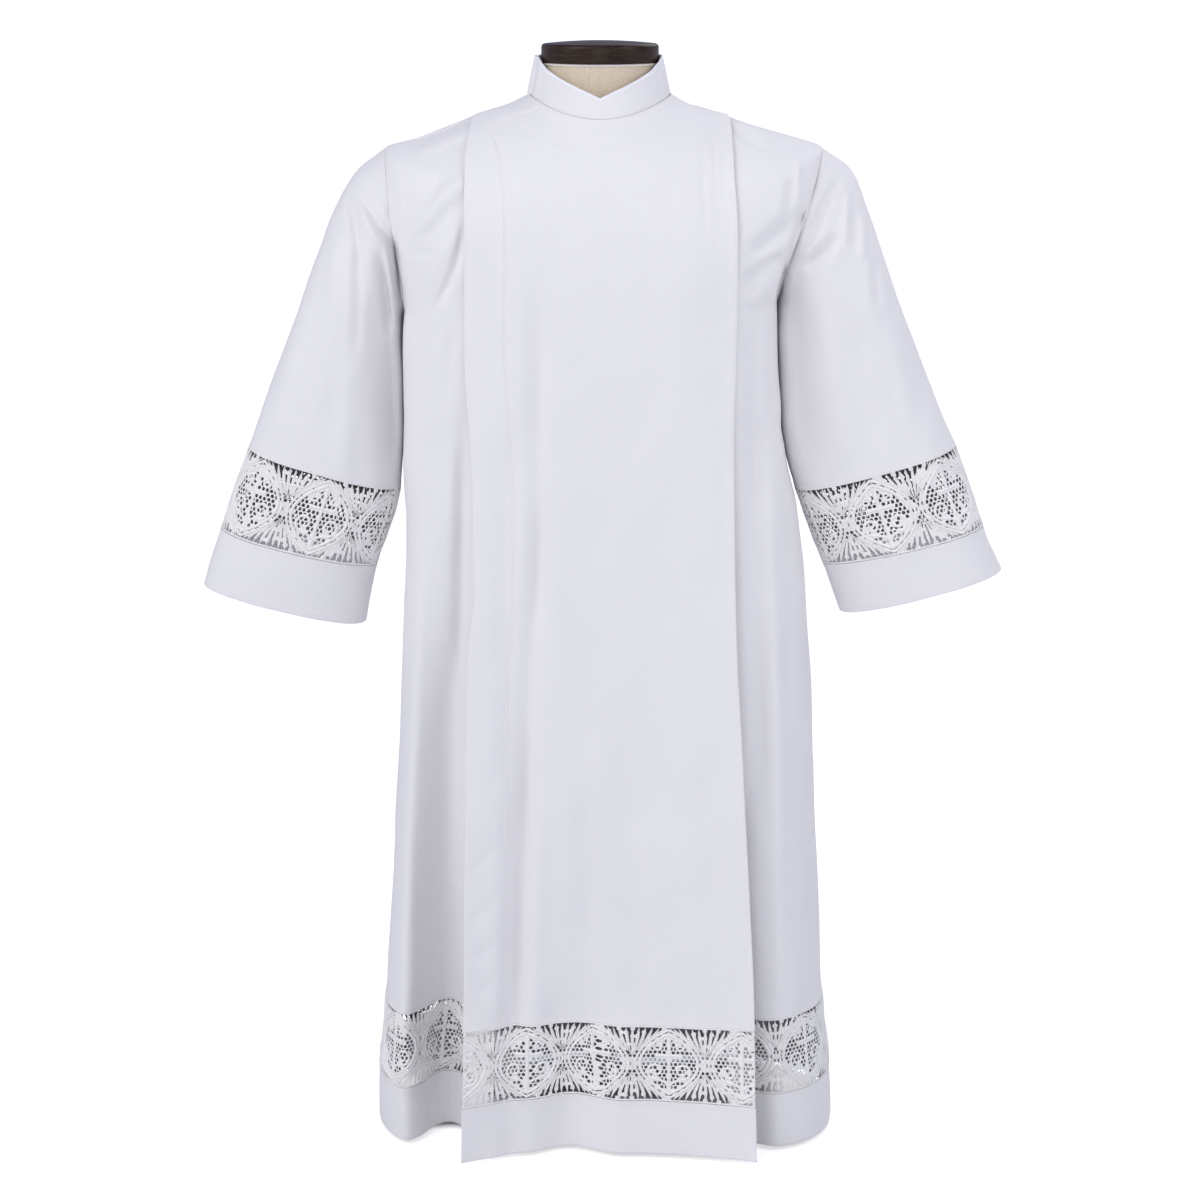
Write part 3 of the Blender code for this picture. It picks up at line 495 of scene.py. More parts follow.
class Underarm(NamedTuple):
    """The meeting of body and sleeve under an arm: its height, each one's edge and how far each comes over."""

    height: float
    body_edge: float
    body: float
    sleeve_edge: float
    sleeve: float


UNDERARMS = {
    -1: table(
        Underarm,
        (690, 205, 0, 215, 0), (722, 205, 3.4, 212.5, 1.4), (745, 204.5, 4.7, 211, 1.6),
        (770, 204.5, 4, 209, 1.4), (800, 204.8, 2.8, 208.2, 1.2), (840, 204.8, 2.4, 208, 1.2),
        (868, 203.8, 2.6, 208.6, 1), (886, 203.2, 2.4, 208.6, 1.4), (904, 203.6, 0.8, 208, 0.6),
        (916, 204.7, 0, 206, 0),
    ),
    1: table(
        Underarm,
        (690, 208, 0, 215, 0), (722, 201.5, 1.6, 206, 1), (748, 193, 3.8, 197.5, 1.2), (768, 188, 5.8, 193, 1),
        (800, 185.3, 5, 191, 1), (830, 185, 2.6, 189.2, 1), (860, 184.7, 1.2, 189, 2.2),
        (884, 184.4, 0.6, 189.4, 3.6), (902, 184.1, 0.4, 189.4, 3), (918, 184.5, 0, 187, 0),
    ),
}


def closed_up(points: Array, of_body: bool) -> Array:
    """Bring the cloth under an arm over to its neighbour.

    Args:
        points: The cloth's points.
        of_body: Whether the cloth is the body's, which moves outwards. A sleeve's moves inwards.

    Returns:
        The moved points.
    """
    moved, z = points.copy(), points[..., 2]
    part, way = ("body", 1) if of_body else ("sleeve", -1)
    for side, places in UNDERARMS.items():
        here = points[..., 0] * side
        beyond = way * (along(places, z, part + "_edge") - here)
        reach = way * along(places, z, part)
        moved[..., 0] += side * reach * bell(np.maximum(beyond, 0.0) / 0.024) * (here > 0)
    return moved


def armhole_inwards(side: int) -> Array:
    """Give the normal of an armhole's plane, towards the body."""
    across = sleeve_ring(side, 0.0)[1]
    return np.array((-across[2], 0.0, across[0])) * side


class RowLine(NamedTuple):
    """One side of one row of the skin: where it ends, and the rounded line from there to the middle."""

    side: int
    face: int
    end_z: float
    middle_z: float
    end_depth: float
    end_rise: float
    depth: float
    square: float
    half: float

    def angle_at_depth(self, depth: float) -> float:
        """Give the angle from the side, in degrees, where the line is this deep."""
        return math.degrees(math.asin(min(1.0, depth / self.depth) ** (self.square / 2)))

    def angle_at_x(self, x: float) -> float:
        """Give the angle from the side, in degrees, where the line is this far from the middle."""
        return math.degrees(math.acos(min(1.0, x / self.half) ** (self.square / 2)))

    def points(self, angles: Array) -> Array:
        """Find the points at angles from the side.

        Args:
            angles: Degrees from the side, 90 in the middle.

        Returns:
            One point an angle.
        """
        x = self.side * self.half * power(np.cos(np.radians(angles)), 2 / self.square)
        rise = np.maximum(0.0, np.sin(np.radians(angles))) ** (2 / self.square)
        start = self.end_rise**SHOULDER_ROUND
        level = (rise**SHOULDER_ROUND - start) / (1 - start)
        z = self.end_z + (self.middle_z - self.end_z) * level
        return np.stack((x, self.face * self.depth * rise, z), axis=1)


@lru_cache(maxsize=None)
def row_line(side: int, face: int, row: float) -> RowLine:
    """Work out a side of a row.

    Args:
        side: -1 for the wearer's right and 1 for the left.
        face: -1 for the front and 1 for the back.
        row: The row number.

    Returns:
        The row's line.
    """
    column = "right" if side < 0 else "left"
    pit, tip = SLEEVES[side][0].in_z, SLEEVES[side][0].out_z
    top = (TIP_FRONT, NECK_FRONT) if face < 0 else (TIP_BACK, NECK_BACK)
    end_depth = 0.0
    if row <= 1:
        end_z = HEM + row * (pit - HEM)
        middle_z = HEM + row * (PIT - HEM)
        end_x = float(along(SIDES, end_z, column))
    elif row < 2:
        ring = sleeve_points(side, 0.0, np.array([180 * (row - 1)]))[0]
        end_x, end_depth, end_z = abs(ring[0]), abs(ring[1]), ring[2]
        middle_z = PIT + (top[0] - PIT) * (1 - math.cos(math.pi * (row - 1))) / 2
    else:
        end_z = tip + (row - 2) * (NECK_SIDE - tip)
        middle_z = top[0] + (row - 2) * (top[1] - top[0])
        end_x = float(along(SIDES, end_z, column))
    square = float(along(SHAPES, row, "square"))
    depth = float(along(DEPTHS, middle_z, "front" if face < 0 else "back"))
    end_rise = end_depth / depth
    half = end_x / (1 - end_rise**square) ** (1 / square)
    return RowLine(side, face, float(end_z), middle_z, float(end_depth), end_rise, depth, square, half)


def skin_points(row: float, angles: Array, folds: Optional[Sequence[Fold]] = None) -> Array:
    """Find points of the skin in a row.

    Args:
        row: The row number.
        angles: Degrees round it. Below 0 and over 180 is the back.
        folds: The folds of this skin, or None for those of the side fronts and the back.

    Returns:
        One point an angle.
    """
    angles = np.mod(angles, 360.0)
    points = np.empty((len(angles), 3))
    for face, side, low in ((-1, 1, 0.0), (-1, -1, 90.0), (1, -1, 180.0), (1, 1, 270.0)):
        mine = (angles >= low) & (angles < low + 90.0)
        if not mine.any():
            continue
        from_low = angles[mine] - low
        from_side = from_low if low in (0.0, 180.0) else 90.0 - from_low
        found = row_line(side, face, row).points(from_side)
        mine_folds = folds
        if folds is None:
            mine_folds = LAP_AND_FRONT_FOLDS + FRONT_FOLDS if face < 0 else BACK_FOLDS
        found[:, 1] += face * fold_depth(mine_folds, found[:, 0], found[:, 2])
        points[mine] = found
    return points


def lap_points(row: float, angles: Array) -> Array:
    """Find points of the skin under the lap, carried forward to where the lap hangs.

    Args:
        row: The row number.
        angles: Degrees round it.

    Returns:
        One point an angle.
    """
    points = skin_points(row, angles, LAP_AND_FRONT_FOLDS)
    x, z = np.abs(points[:, 0]), points[:, 2]
    edge, lift = (
        np.where(points[:, 0] < 0, along(LAP_EDGES, z, start + "right"), along(LAP_EDGES, z, start + "left"))
        for start in ("", "lift_")
    )
    points[:, 1] -= lift * np.minimum(1.0, x / edge) ** 3
    return points


def seam_angle(side: int, row: float, face: int) -> float:
    """Find where a front or back piece ends at the side, armhole or shoulder seam.

    Args:
        side: -1 for the wearer's right and 1 for the left.
        row: The row number.
        face: -1 for the front and 1 for the back.

    Returns:
        The angle in degrees.
    """
    line = row_line(side, face, row)
    forward = SEAM_FORWARD * float(eased((row - 2) / SEAM_FORWARD_ROWS))
    if face < 0:
        angle = line.angle_at_depth(line.end_depth + forward + SEAM / 2)
        return angle if side > 0 else 180 - angle
    if row > 2 and forward > SEAM:
        angle = -row_line(side, -1, row).angle_at_depth(forward - SEAM / 2)
    else:
        angle = line.angle_at_depth(line.end_depth + SEAM / 2)
    return 360 - angle if side > 0 else 180 + angle


def lap_ends(row: float) -> tuple[float, float]:
    """Find the angles of the lap's left and right edges in a row.

    Args:
        row: The row number.

    Returns:
        The two angles in degrees.
    """
    ends = []
    for side, column in ((1, "left"), (-1, "right")):
        line = row_line(side, -1, row)
        ends.append(line.angle_at_x(float(along(LAP_EDGES, line.middle_z, column))))
    return max(seam_angle(1, row, -1), ends[0]), min(seam_angle(-1, row, -1), 180 - ends[1])


def front_left_ends(row: float) -> tuple[float, float]:
    """Give the wearer's left side front's seam and its edge under the lap, in degrees."""
    left, right = lap_ends(row)
    return seam_angle(1, row, -1), left + (right - left) * UNDERLAP[1]


def front_right_ends(row: float) -> tuple[float, float]:
    """Give the wearer's right side front's edge under the lap and its seam, in degrees."""
    left, right = lap_ends(row)
    return right + (left - right) * UNDERLAP[-1], seam_angle(-1, row, -1)


def back_ends(row: float) -> tuple[float, float]:
    """Give the back's right and left seams, in degrees."""
    return seam_angle(-1, row, 1), seam_angle(1, row, 1)


def side_front_top() -> float:
    """Find the row where the lap's sides reach the shoulder seams.

    Returns:
        The row number.
    """
    width = LAP_EDGES[-1].right + SEAM
    row = 2.0
    while row_line(-1, -1, row).half > width:
        row += 0.002
    return row


SIDE_TOP = side_front_top()


def no_lift(row: float) -> float:
    """Give the lift of a piece that lies on the skin."""
    return 0.0


def lap_lift(row: float) -> float:
    """Give how far the lap stands off the side fronts. It comes down to the shoulder seams above them."""
    above = LAP_LIFT + (LAP_SEAM_LIFT - LAP_LIFT) * float(eased((row - SIDE_TOP + 0.32) / 0.30))
    return above * (1 - float(eased((row - SIDE_TOP) / LAP_SETTLE_ROWS)))


def row_at(height: Array) -> Array:
    """Give the rows of the skin at heights between the hem and the armpits."""
    return (height - HEM) / (PIT - HEM)


# ---------------------------------------------------------------- finishes


Colour = tuple[float, float, float, float]


class Nodes:
    """A shader node tree that is built by short calls."""

    def __init__(self, tree: bpy.types.NodeTree) -> None:
        """Keep the tree and empty it."""
        self.tree = tree
        tree.nodes.clear()

    def add(self, kind: str, inputs: Optional[dict] = None, **settings: object) -> bpy.types.Node:
        """Add a node.

        Args:
            kind: The node's type, without its ShaderNode prefix.
            inputs: Values or sockets for its inputs, by name or number.
            **settings: Its own settings.

        Returns:
            The node.
        """
        name = kind if kind.startswith("Node") else "ShaderNode" + kind
        node = self.tree.nodes.new(name)
        for key, value in settings.items():
            setattr(node, key, value)
        for key, value in (inputs or {}).items():
            if isinstance(value, Socket):
                self.tree.links.new(value, node.inputs[key])
            else:
                node.inputs[key].default_value = value
        return node

    def vector(self, operation: str, first: Socket, second: tuple = ()) -> Socket:
        """Do a sum on a vector."""
        inputs = {0: first, 1: second} if second else {0: first}
        return self.add("VectorMath", inputs, operation=operation).outputs[0]

    def noise(self, place: Socket, **inputs: object) -> Socket:
        """Draw noise at a place."""
        return self.add("TexNoise", {"Vector": place, **inputs}).outputs["Fac"]

    def mix(self, share: Socket, low: object, high: object) -> Socket:
        """Mix two colours by a share of the second."""
        return self.add("Mix", {0: share, 6: low, 7: high}, data_type="RGBA").outputs[2]

    def spread(self, value: Socket, source: tuple = (0.0, 1.0), target: tuple = (0.0, 1.0)) -> Socket:
        """Carry a value over from one range to another."""
        return self.add("MapRange", dict(enumerate((value, *source, *target)))).outputs[0]

    def surface(self, **inputs: object) -> None:
        """End a material with its shader, whose inputs are named with _ for each space."""
        named = {name.replace("_", " "): value for name, value in inputs.items()}
        self.add("OutputMaterial", {"Surface": self.add("BsdfPrincipled", named).outputs[0]})


def new_material(name: str) -> tuple[Material, Nodes]:
    """Start a material that has no nodes yet."""
    made = bpy.data.materials.new(name)
    made.use_nodes = True
    return made, Nodes(made.node_tree)


def weave_group() -> bpy.types.NodeTree:
    """Build the node group of a plain weave with uneven threads, or give the one there is.

    Returns:
        The group. It puts out a height and two masks, of the threads and of slow shade.
    """
    found = bpy.data.node_groups.get("plain weave")
    if found:
        return found
    group = bpy.data.node_groups.new("plain weave", "ShaderNodeTree")
    sockets = {"INPUT": ("Vector", "Threads", "Slubs"), "OUTPUT": ("Height", "Thread Mask", "Shade Mask")}
    for way, names in sockets.items():
        for name in names:
            kind = "NodeSocketVector" if name == "Vector" else "NodeSocketFloat"
            group.interface.new_socket(name, in_out=way, socket_type=kind)
    nodes = Nodes(group)
    place, fine, coarse = nodes.add("NodeGroupInput").outputs[:3]
    streaks = [
        nodes.noise(nodes.vector("MULTIPLY", place, stretch), Scale=fine, Detail=2.0)
        for stretch in ((1.0, 1.0, 0.12), (0.12, 0.12, 1.0))
    ]
    threads = nodes.add("Math", dict(enumerate(streaks)), operation="ADD").outputs[0]
    slubs = nodes.noise(place, Scale=coarse, Detail=3.0)
    height = nodes.add("Math", {0: threads, 1: slubs, 2: 0.0}, operation="MULTIPLY_ADD").outputs[0]
    slow = nodes.noise(place, Scale=9.0, Detail=2.0)
    nodes.add("NodeGroupOutput", {
        "Height": height, "Thread Mask": nodes.spread(threads, (0.75, 1.25)),
        "Shade Mask": nodes.spread(slow, (0.3, 0.7)),
    })
    return group


@dataclass(frozen=True)
class WovenFinish:
    """A woven cloth or thread: its colours, its threads a metre and how its surface scatters light."""

    name: str
    light: Colour
    dark: Colour
    shade: Colour
    threads: float
    slubs: float
    bump: float
    roughness: tuple[float, float]
    sheen: float

    def build(self) -> Material:
        """Make the material, or give the one there is.

        Returns:
            The material.
        """
        found = bpy.data.materials.get(self.name)
        if found:
            return found
        made, nodes = new_material(self.name)
        place = nodes.add("TexCoord").outputs["Object"]
        inputs = {"Vector": place, "Threads": self.threads, "Slubs": self.slubs}
        height, threads, shade = nodes.add("Group", inputs, node_tree=weave_group()).outputs
        bump = nodes.add("Bump", {"Height": height, "Strength": self.bump, "Distance": 0.0004})
        nodes.surface(
            Base_Color=nodes.mix(shade, self.shade, nodes.mix(threads, self.dark, self.light)),
            Roughness=nodes.spread(threads, target=self.roughness), Normal=bump.outputs[0],
            Sheen_Weight=self.sheen, Sheen_Roughness=0.5, Specular_IOR_Level=0.3,
        )
        made.diffuse_color = self.light
        return made


@dataclass(frozen=True)
class WoodFinish:
    """A dark turned wood under satin varnish."""

    name: str = "dark_varnished_wood"
    light: Colour = (0.050, 0.031, 0.022, 1.0)
    dark: Colour = (0.016, 0.009, 0.006, 1.0)

    def build(self) -> Material:
        """Make the material.

        Returns:
            The material.
        """
        made, nodes = new_material(self.name)
        turned = nodes.vector("MULTIPLY", nodes.add("TexCoord").outputs["Object"], (3.0, 14.0, 60.0))
        grain = nodes.noise(turned, Scale=6.0, Detail=8.0, Roughness=0.62, Distortion=0.6)
        bump = nodes.add("Bump", {"Height": grain, "Strength": 0.12, "Distance": 0.0006})
        nodes.surface(
            Base_Color=nodes.mix(nodes.spread(grain, (0.3, 0.7)), self.dark, self.light),
            Roughness=nodes.spread(grain, target=(0.26, 0.44)), Normal=bump.outputs[0],
            Specular_IOR_Level=0.12, Coat_Weight=0.06, Coat_Roughness=0.12,
        )
        return made


@dataclass(frozen=True)
class SteelFinish:
    """A satin steel with fine turning marks."""

    name: str = "satin_steel"
    light: Colour = (0.66, 0.66, 0.67, 1.0)
    dark: Colour = (0.50, 0.50, 0.52, 1.0)

    def build(self) -> Material:
        """Make the material.

        Returns:
            The material.
        """
        made, nodes = new_material(self.name)
        drawn = nodes.vector("MULTIPLY", nodes.add("TexCoord").outputs["Object"], (30.0, 30.0, 900.0))
        marks = nodes.noise(drawn, Scale=1.0, Detail=4.0)
        nodes.surface(
            Base_Color=nodes.mix(marks, self.dark, self.light),
            Roughness=nodes.spread(marks, target=(0.24, 0.42)), Metallic=1.0,
        )
        return made


def shades(*colours: tuple[float, float, float]) -> list[Colour]:
    """Make colours opaque."""
    return [(*colour, 1.0) for colour in colours]


# The light, dark and shaded colour of each; threads and slubs a metre, bump, roughness and sheen
CLOTH = WovenFinish(
    "pressed_poly_cotton", *shades((0.842, 0.828, 0.834), (0.802, 0.788, 0.796), (0.806, 0.792, 0.802)),
    2600.0, 700.0, 0.18, (0.62, 0.78), 0.12,
)
# The binding is a real piece, but it is paler than the collar's cloth: a painted highlight along the collar's
# top edge
BINDING_PAINTED_HIGHLIGHT = WovenFinish(
    "binding_painted_highlight", *shades((0.900, 0.890, 0.930), (0.860, 0.850, 0.890), (0.875, 0.865, 0.905)),
    2600.0, 700.0, 0.15, (0.55, 0.70), 0.15,
)
THREAD = WovenFinish(
    "sewing_thread", *shades((0.86, 0.85, 0.87), (0.76, 0.75, 0.78), (0.82, 0.81, 0.84)),
    5200.0, 1500.0, 0.25, (0.45, 0.60), 0.10,
)
LACE_COTTON = WovenFinish(
    "lace_cotton", *shades((0.90, 0.89, 0.87), (0.79, 0.78, 0.76), (0.87, 0.86, 0.84)),
    4200.0, 900.0, 0.35, (0.60, 0.82), 0.15,
)
# Painted shade: a dark grey copy of the lace cotton for the lace's inner faces, so that its holes read dark
# like the robe's shadowed inside
LACE_PAINTED_SHADE = WovenFinish(
    "lace_cotton_painted_shade", *shades((0.25, 0.25, 0.26), (0.18, 0.18, 0.19), (0.22, 0.22, 0.23)),
    4200.0, 900.0, 0.35, (0.60, 0.82), 0.0,
)
LINEN = WovenFinish(
    "unbleached_linen", *shades((0.83, 0.70, 0.55), (0.58, 0.48, 0.36), (0.69, 0.58, 0.45)),
    900.0, 260.0, 0.55, (0.78, 0.92), 0.10,
)
# A pale ring round the top of the form's neck, just under the cap
PALE_NECK_RING = WovenFinish(
    "pale_neck_ring", *shades((0.84, 0.80, 0.73), (0.74, 0.70, 0.63), (0.80, 0.76, 0.69)),
    2400.0, 500.0, 0.30, (0.70, 0.85), 0.10,
)


# ---------------------------------------------------------------- meshes


def add_mesh(name: str, points: Array, corners: Array, finish: Material, sharp: float = 50.0) -> Piece:
    """Make an object from points and triangles or four-sided faces.

    Args:
        name: The piece's name.
        points: Its points, a row each.
        corners: The faces' point numbers, a row each.
        finish: Its material.
        sharp: The angle in degrees from which an edge is drawn sharp.

    Returns:
        The object.
    """
    mesh = bpy.data.meshes.new(name)
    count, size = corners.shape
    mesh.vertices.add(len(points))
    mesh.vertices.foreach_set("co", np.ascontiguousarray(points, dtype=np.float32).ravel())
    mesh.loops.add(count * size)
    mesh.loops.foreach_set("vertex_index", np.ascontiguousarray(corners, dtype=np.int32).ravel())
    mesh.polygons.add(count)
    mesh.polygons.foreach_set("loop_start", np.arange(0, count * size, size, dtype=np.int32))
    mesh.update(calc_edges=True)
    mesh.validate()
    mesh.shade_smooth()
    mesh.set_sharp_from_angle(angle=math.radians(sharp))
    mesh.materials.append(finish)
    made = bpy.data.objects.new(name, mesh)
    bpy.context.scene.collection.objects.link(made)
    return made


def dress(piece: Piece, slot: str, *nodes: str) -> Piece:
    """Tell the frame what a piece rides on and replaces.

    Args:
        piece: The piece.
        slot: The record's material slot. It is not used.
        *nodes: The frame's nodes that it stands for.

    Returns:
        The piece.
    """
    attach(piece, "root")
    if nodes:
        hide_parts(*nodes)
    LOG.info("%s: %d faces", piece.name, len(piece.data.polygons))
    return piece


def tube(name: str, rings: Array, finish: Material) -> Piece:
    """Make a closed tube from its rings of points.

    Args:
        name: The piece's name.
        rings: The rings.
        finish: Its material.

    Returns:
        The object.
    """
    count, sides = rings.shape[:2]
    fan = np.stack((np.zeros(sides - 2, int), np.arange(1, sides - 1), np.arange(2, sides)), axis=1)
    corners = np.concatenate((between_rings(count, sides), fan[:, ::-1], fan + (count - 1) * sides))
    return add_mesh(name, rings.reshape(-1, 3), corners, finish)


def between_rings(count: int, sides: int) -> Array:
    """Give the triangles that join rings of points, one after the other.

    Args:
        count: The number of rings.
        sides: The points of each.

    Returns:
        The point numbers of the triangles, a row each.
    """
    numbers = np.arange(count * sides).reshape(count, sides)
    wrapped = np.concatenate((numbers, numbers[:, :1]), axis=1)
    a, b, c, d = wrapped[:-1, :-1], wrapped[:-1, 1:], wrapped[1:, 1:], wrapped[1:, :-1]
    quads = np.stack((a, b, c, d), axis=-1).reshape(-1, 4)
    return np.concatenate((quads[:, [0, 1, 2]], quads[:, [0, 2, 3]]))


class Edge(Enum):
    """An edge of a cloth surface: whether it runs along the columns, and whether it is the far one."""

    BOTTOM = (False, False)
    TOP = (False, True)
    FIRST = (True, False)
    LAST = (True, True)

    def first(self, values: Array) -> Array:
        """Turn a surface's values so that this edge is their first row."""
        values = values.swapaxes(0, 1) if self.value[0] else values
        return values[::-1] if self.value[1] else values

    def back(self, values: Array) -> Array:
        """Turn them back again."""
        values = values[::-1] if self.value[1] else values
        return values.swapaxes(0, 1) if self.value[0] else values


@dataclass
class Surface:
    """A cloth surface: its outer points in rows and columns, and what is known of them."""

    points: Array
    closed: bool = False
    centre: Optional[Array] = None
    normals: Array = field(init=False)
    turned: bool = field(init=False, default=False)

    def __post_init__(self) -> None:
        """Work out the outward normals."""
        self.refresh()

    def refresh(self) -> None:
        """Work out the outward normals from the points."""
        p = self.points
        if self.closed:
            across = np.roll(p, -1, axis=1) - np.roll(p, 1, axis=1)
        else:
            across = np.gradient(p, axis=1)
        normals = unit(np.cross(np.gradient(p, axis=0), across))
        middle = p * (0.0, 0.0, 1.0) if self.centre is None else self.centre
        self.turned = bool((normals * (p - middle)).sum() < 0)
        self.normals = -normals if self.turned else normals

    @property
    def across(self) -> Array:
        """Give the distance of each point from the first column, along its row."""
        return reach_along(self.points, 1)

    @property
    def upwards(self) -> Array:
        """Give the distance of each point from the first row, along its column."""
        return reach_along(self.points, 0)

    @property
    def from_sides(self) -> tuple[tuple[Edge, Array], ...]:
        """Give the side edges, each with the distance of every point from it."""
        across = self.across
        return (Edge.FIRST, across), (Edge.LAST, across[:, -1:] - across)

    def move(self, depth: Array) -> None:
        """Move the points outwards, each by its own depth."""
        self.points = self.points + self.normals * depth[..., None]
        self.refresh()

    def crumple(self, front: Sequence[Crease], back: Sequence[Crease], still: Array) -> None:
        """Press creases and slow waves into the cloth, in the direction of the front or the back.

        Args:
            front: Creases of what faces the front.
            back: Creases of what faces the back.
            still: The share of the slow waves that each point has, 0 at a seam.
        """
        x, z = self.points[..., 0], self.points[..., 2]
        facing = self.normals[..., 1]
        depth = np.where(facing < 0, crease_depth(front, x, z), crease_depth(back, x, z))
        direction = self.normals * (0.0, 1.0, 1.0)
        pushed = depth * np.minimum(1.0, np.linalg.norm(direction, axis=2) * 1.6)
        self.points = self.points + unit(direction) * pushed[..., None]
        self.refresh()
        self.move(unevenness(x + 0.7 * self.points[..., 1], z) * still)

    def tuck(self, edge: Edge, length: Array, inset: Array, way: Optional[Array] = None) -> None:
        """Carry the cloth on beyond an edge and under its neighbour.

        Args:
            edge: The edge.
            length: How far it runs on, for each point of the edge.
            inset: How far in it lies, for each point of the edge.
            way: The direction in which it runs on, or None for the cloth's own.
        """
        p, n = edge.first(self.points), edge.first(self.normals)
        onwards = unit(p[0] - p[1] if way is None else np.broadcast_to(way, p[0].shape))
        near = p[0] - n[0] * (inset * 0.92)[:, None] + onwards * (length * 0.06)[:, None]
        far = p[0] - n[0] * inset[:, None] + onwards * length[:, None]
        self.points = edge.back(np.concatenate((far[None], near[None], p)))
        if self.centre is not None:
            centre = edge.first(self.centre)
            self.centre = edge.back(np.concatenate((centre[:1], centre[:1], centre)))
        self.refresh()

    def edge_line(self, edge: Edge, distance: float) -> tuple[Array, Array]:
        """Find the line at a distance from an edge.

        Args:
            edge: The edge.
            distance: The distance along the cloth.

        Returns:
            The line's points and normals.
        """
        p = edge.first(self.points)
        reach = reach_along(p)
        line, faces = (
            np.array([
                [np.interp(distance, reach[:, k], values[:, k, axis]) for axis in range(3)]
                for k in range(values.shape[1])
            ])
            for values in (p, edge.first(self.normals))
        )
        if self.closed and edge in (Edge.BOTTOM, Edge.TOP):
            line, faces = np.vstack((line, line[:1])), np.vstack((faces, faces[:1]))
        return line, unit(faces)

    def sample(self, column: Array, row: Array, height: Array) -> Array:
        """Find places over the surface.

        Args:
            column: Shares of the way across, 0 to 1.
            row: Shares of the way up, 0 to 1.
            height: Distances outwards.

        Returns:
            One point a place.
        """
        p, n = self.points, self.normals
        if self.closed:
            p, n = np.concatenate((p, p[:, :1]), axis=1), np.concatenate((n, n[:, :1]), axis=1)
        rows, columns = p.shape[:2]
        j = np.clip(column, 0.0, 1.0) * (columns - 1)
        i = np.clip(row, 0.0, 1.0) * (rows - 1)
        j0, i0 = np.minimum(j.astype(int), columns - 2), np.minimum(i.astype(int), rows - 2)
        fj, fi = (j - j0)[:, None], (i - i0)[:, None]

        def read(values: Array) -> Array:
            """Blend the four values round each place."""
            low = values[i0, j0] * (1 - fj) + values[i0, j0 + 1] * fj
            high = values[i0 + 1, j0] * (1 - fj) + values[i0 + 1, j0 + 1] * fj
            return low * (1 - fi) + high * fi

        return read(p) + read(n) * height[:, None]

    def shell(self, name: str, finish: Material, thickness: Array, soft: Sequence[Edge] = ()) -> Piece:
        """Make a closed thin shell with this surface as its outside.

        Args:
            name: The piece's name.
            finish: Its material.
            thickness: The thickness, for each point.
            soft: The edges that are folded, and so rounded.

        Returns:
            The object.
        """
        rows, columns = self.points.shape[:2]
        inner = self.points - self.normals * thickness[..., None]
        numbers = np.arange(rows * columns).reshape(rows, columns)
        points = [self.points.reshape(-1, 3), inner.reshape(-1, 3)]
        if self.closed:
            numbers = np.concatenate((numbers, numbers[:, :1]), axis=1)
        shift = rows * columns
        a, b = numbers[:-1, :-1], numbers[:-1, 1:]
        c, d = numbers[1:, 1:], numbers[1:, :-1]
        outside = np.stack((a, b, c, d), axis=-1).reshape(-1, 4)
        faces = [outside[:, ::-1], outside + shift]
        used = 2 * shift
        flat_points, flat_inner, thickness = points[0], points[1], thickness.reshape(-1)
        for edge in (Edge.BOTTOM, Edge.TOP) if self.closed else Edge:
            line, p = edge.first(numbers)[0], edge.first(self.points)
            out = unit(p[0] - p[1])
            if edge in (Edge.TOP, Edge.FIRST):
                line, out = line[::-1], out[::-1]
            if edge not in soft:
                faces.append(np.stack((line[:-1], line[1:], line[1:] + shift, line[:-1] + shift), axis=-1))
                continue
            if self.closed:
                out = np.roll(np.vstack((out, out[:1])), 1 if edge is Edge.TOP else 0, axis=0)
            middle = (flat_points[line] + flat_inner[line]) / 2
            points.append(middle + out * (thickness[line] * 0.45)[:, None])
            rim = used + np.arange(len(line))
            used += len(line)
            faces.append(np.stack((line[:-1], line[1:], rim[1:], rim[:-1]), axis=-1))
            faces.append(np.stack((rim[:-1], rim[1:], line[1:] + shift, line[:-1] + shift), axis=-1))
        corners = np.concatenate(faces)
        if self.turned:
            corners = corners[:, ::-1]
        return add_mesh(name, np.concatenate(points), corners, finish)


@dataclass
class Stitching:
    """Rows of stitches on one piece, each stitch a thin spindle of thread."""

    name: str
    pitch: float = 0.0032
    length: float = 0.0024
    radius: float = 0.00030
    sides: int = 4
    parts: list = field(default_factory=list)

    def sew(self, points: Array, normals: Array) -> None:
        """Put stitches along a line.

        Args:
            points: The line's points.
            normals: The cloth's normals at them.
        """
        reach = reach_along(points)
        starts = np.arange(self.pitch / 2, reach[-1] - self.length, self.pitch)
        places = starts[:, None] + np.array((0.0, 0.3, 0.7, 1.0)) * self.length
        if len(starts):
            self.parts.append([
                np.stack([np.interp(places, reach, values[:, k]) for k in range(3)], axis=-1)
                for values in (points, normals)
            ])

    def build(self) -> Piece:
        """Make all the stitches as one piece.

        Returns:
            The object.
        """
        line, normal = (np.concatenate(values) for values in zip(*self.parts))
        normal = unit(normal)
        run = unit(line[:, -1] - line[:, 0])
        aside = np.cross(normal, run[:, None, :])
        rise = np.array((-0.0003, 0.00010, 0.00010, -0.0003))
        centre = line + normal * rise[None, :, None]
        turns = 2 * np.pi * np.arange(self.sides) / self.sides
        rings = [
            centre[:, k, None, :]
            + aside[:, k, None, :] * (np.cos(turns) * self.radius)[None, :, None]
            + normal[:, k, None, :] * (np.sin(turns) * self.radius)[None, :, None]
            for k in (1, 2)
        ]
        count, sides = len(line), self.sides
        each = 2 + 2 * sides
        points = np.concatenate((centre[:, :1], rings[0], rings[1], centre[:, 3:]), axis=1).reshape(-1, 3)
        faces = []
        for k in range(sides):
            after = (k + 1) % sides
            first, second = 1 + k, 1 + after
            faces += [(0, second, first), (first, second, second + sides)]
            faces.append((first, second + sides, first + sides))
            faces.append((1 + 2 * sides, first + sides, second + sides))
        template = np.array(faces)
        corners = (template[None] + (np.arange(count) * each)[:, None, None]).reshape(-1, 3)
        return add_mesh(self.name, points, corners, THREAD.build())


# ---------------------------------------------------------------- the lace

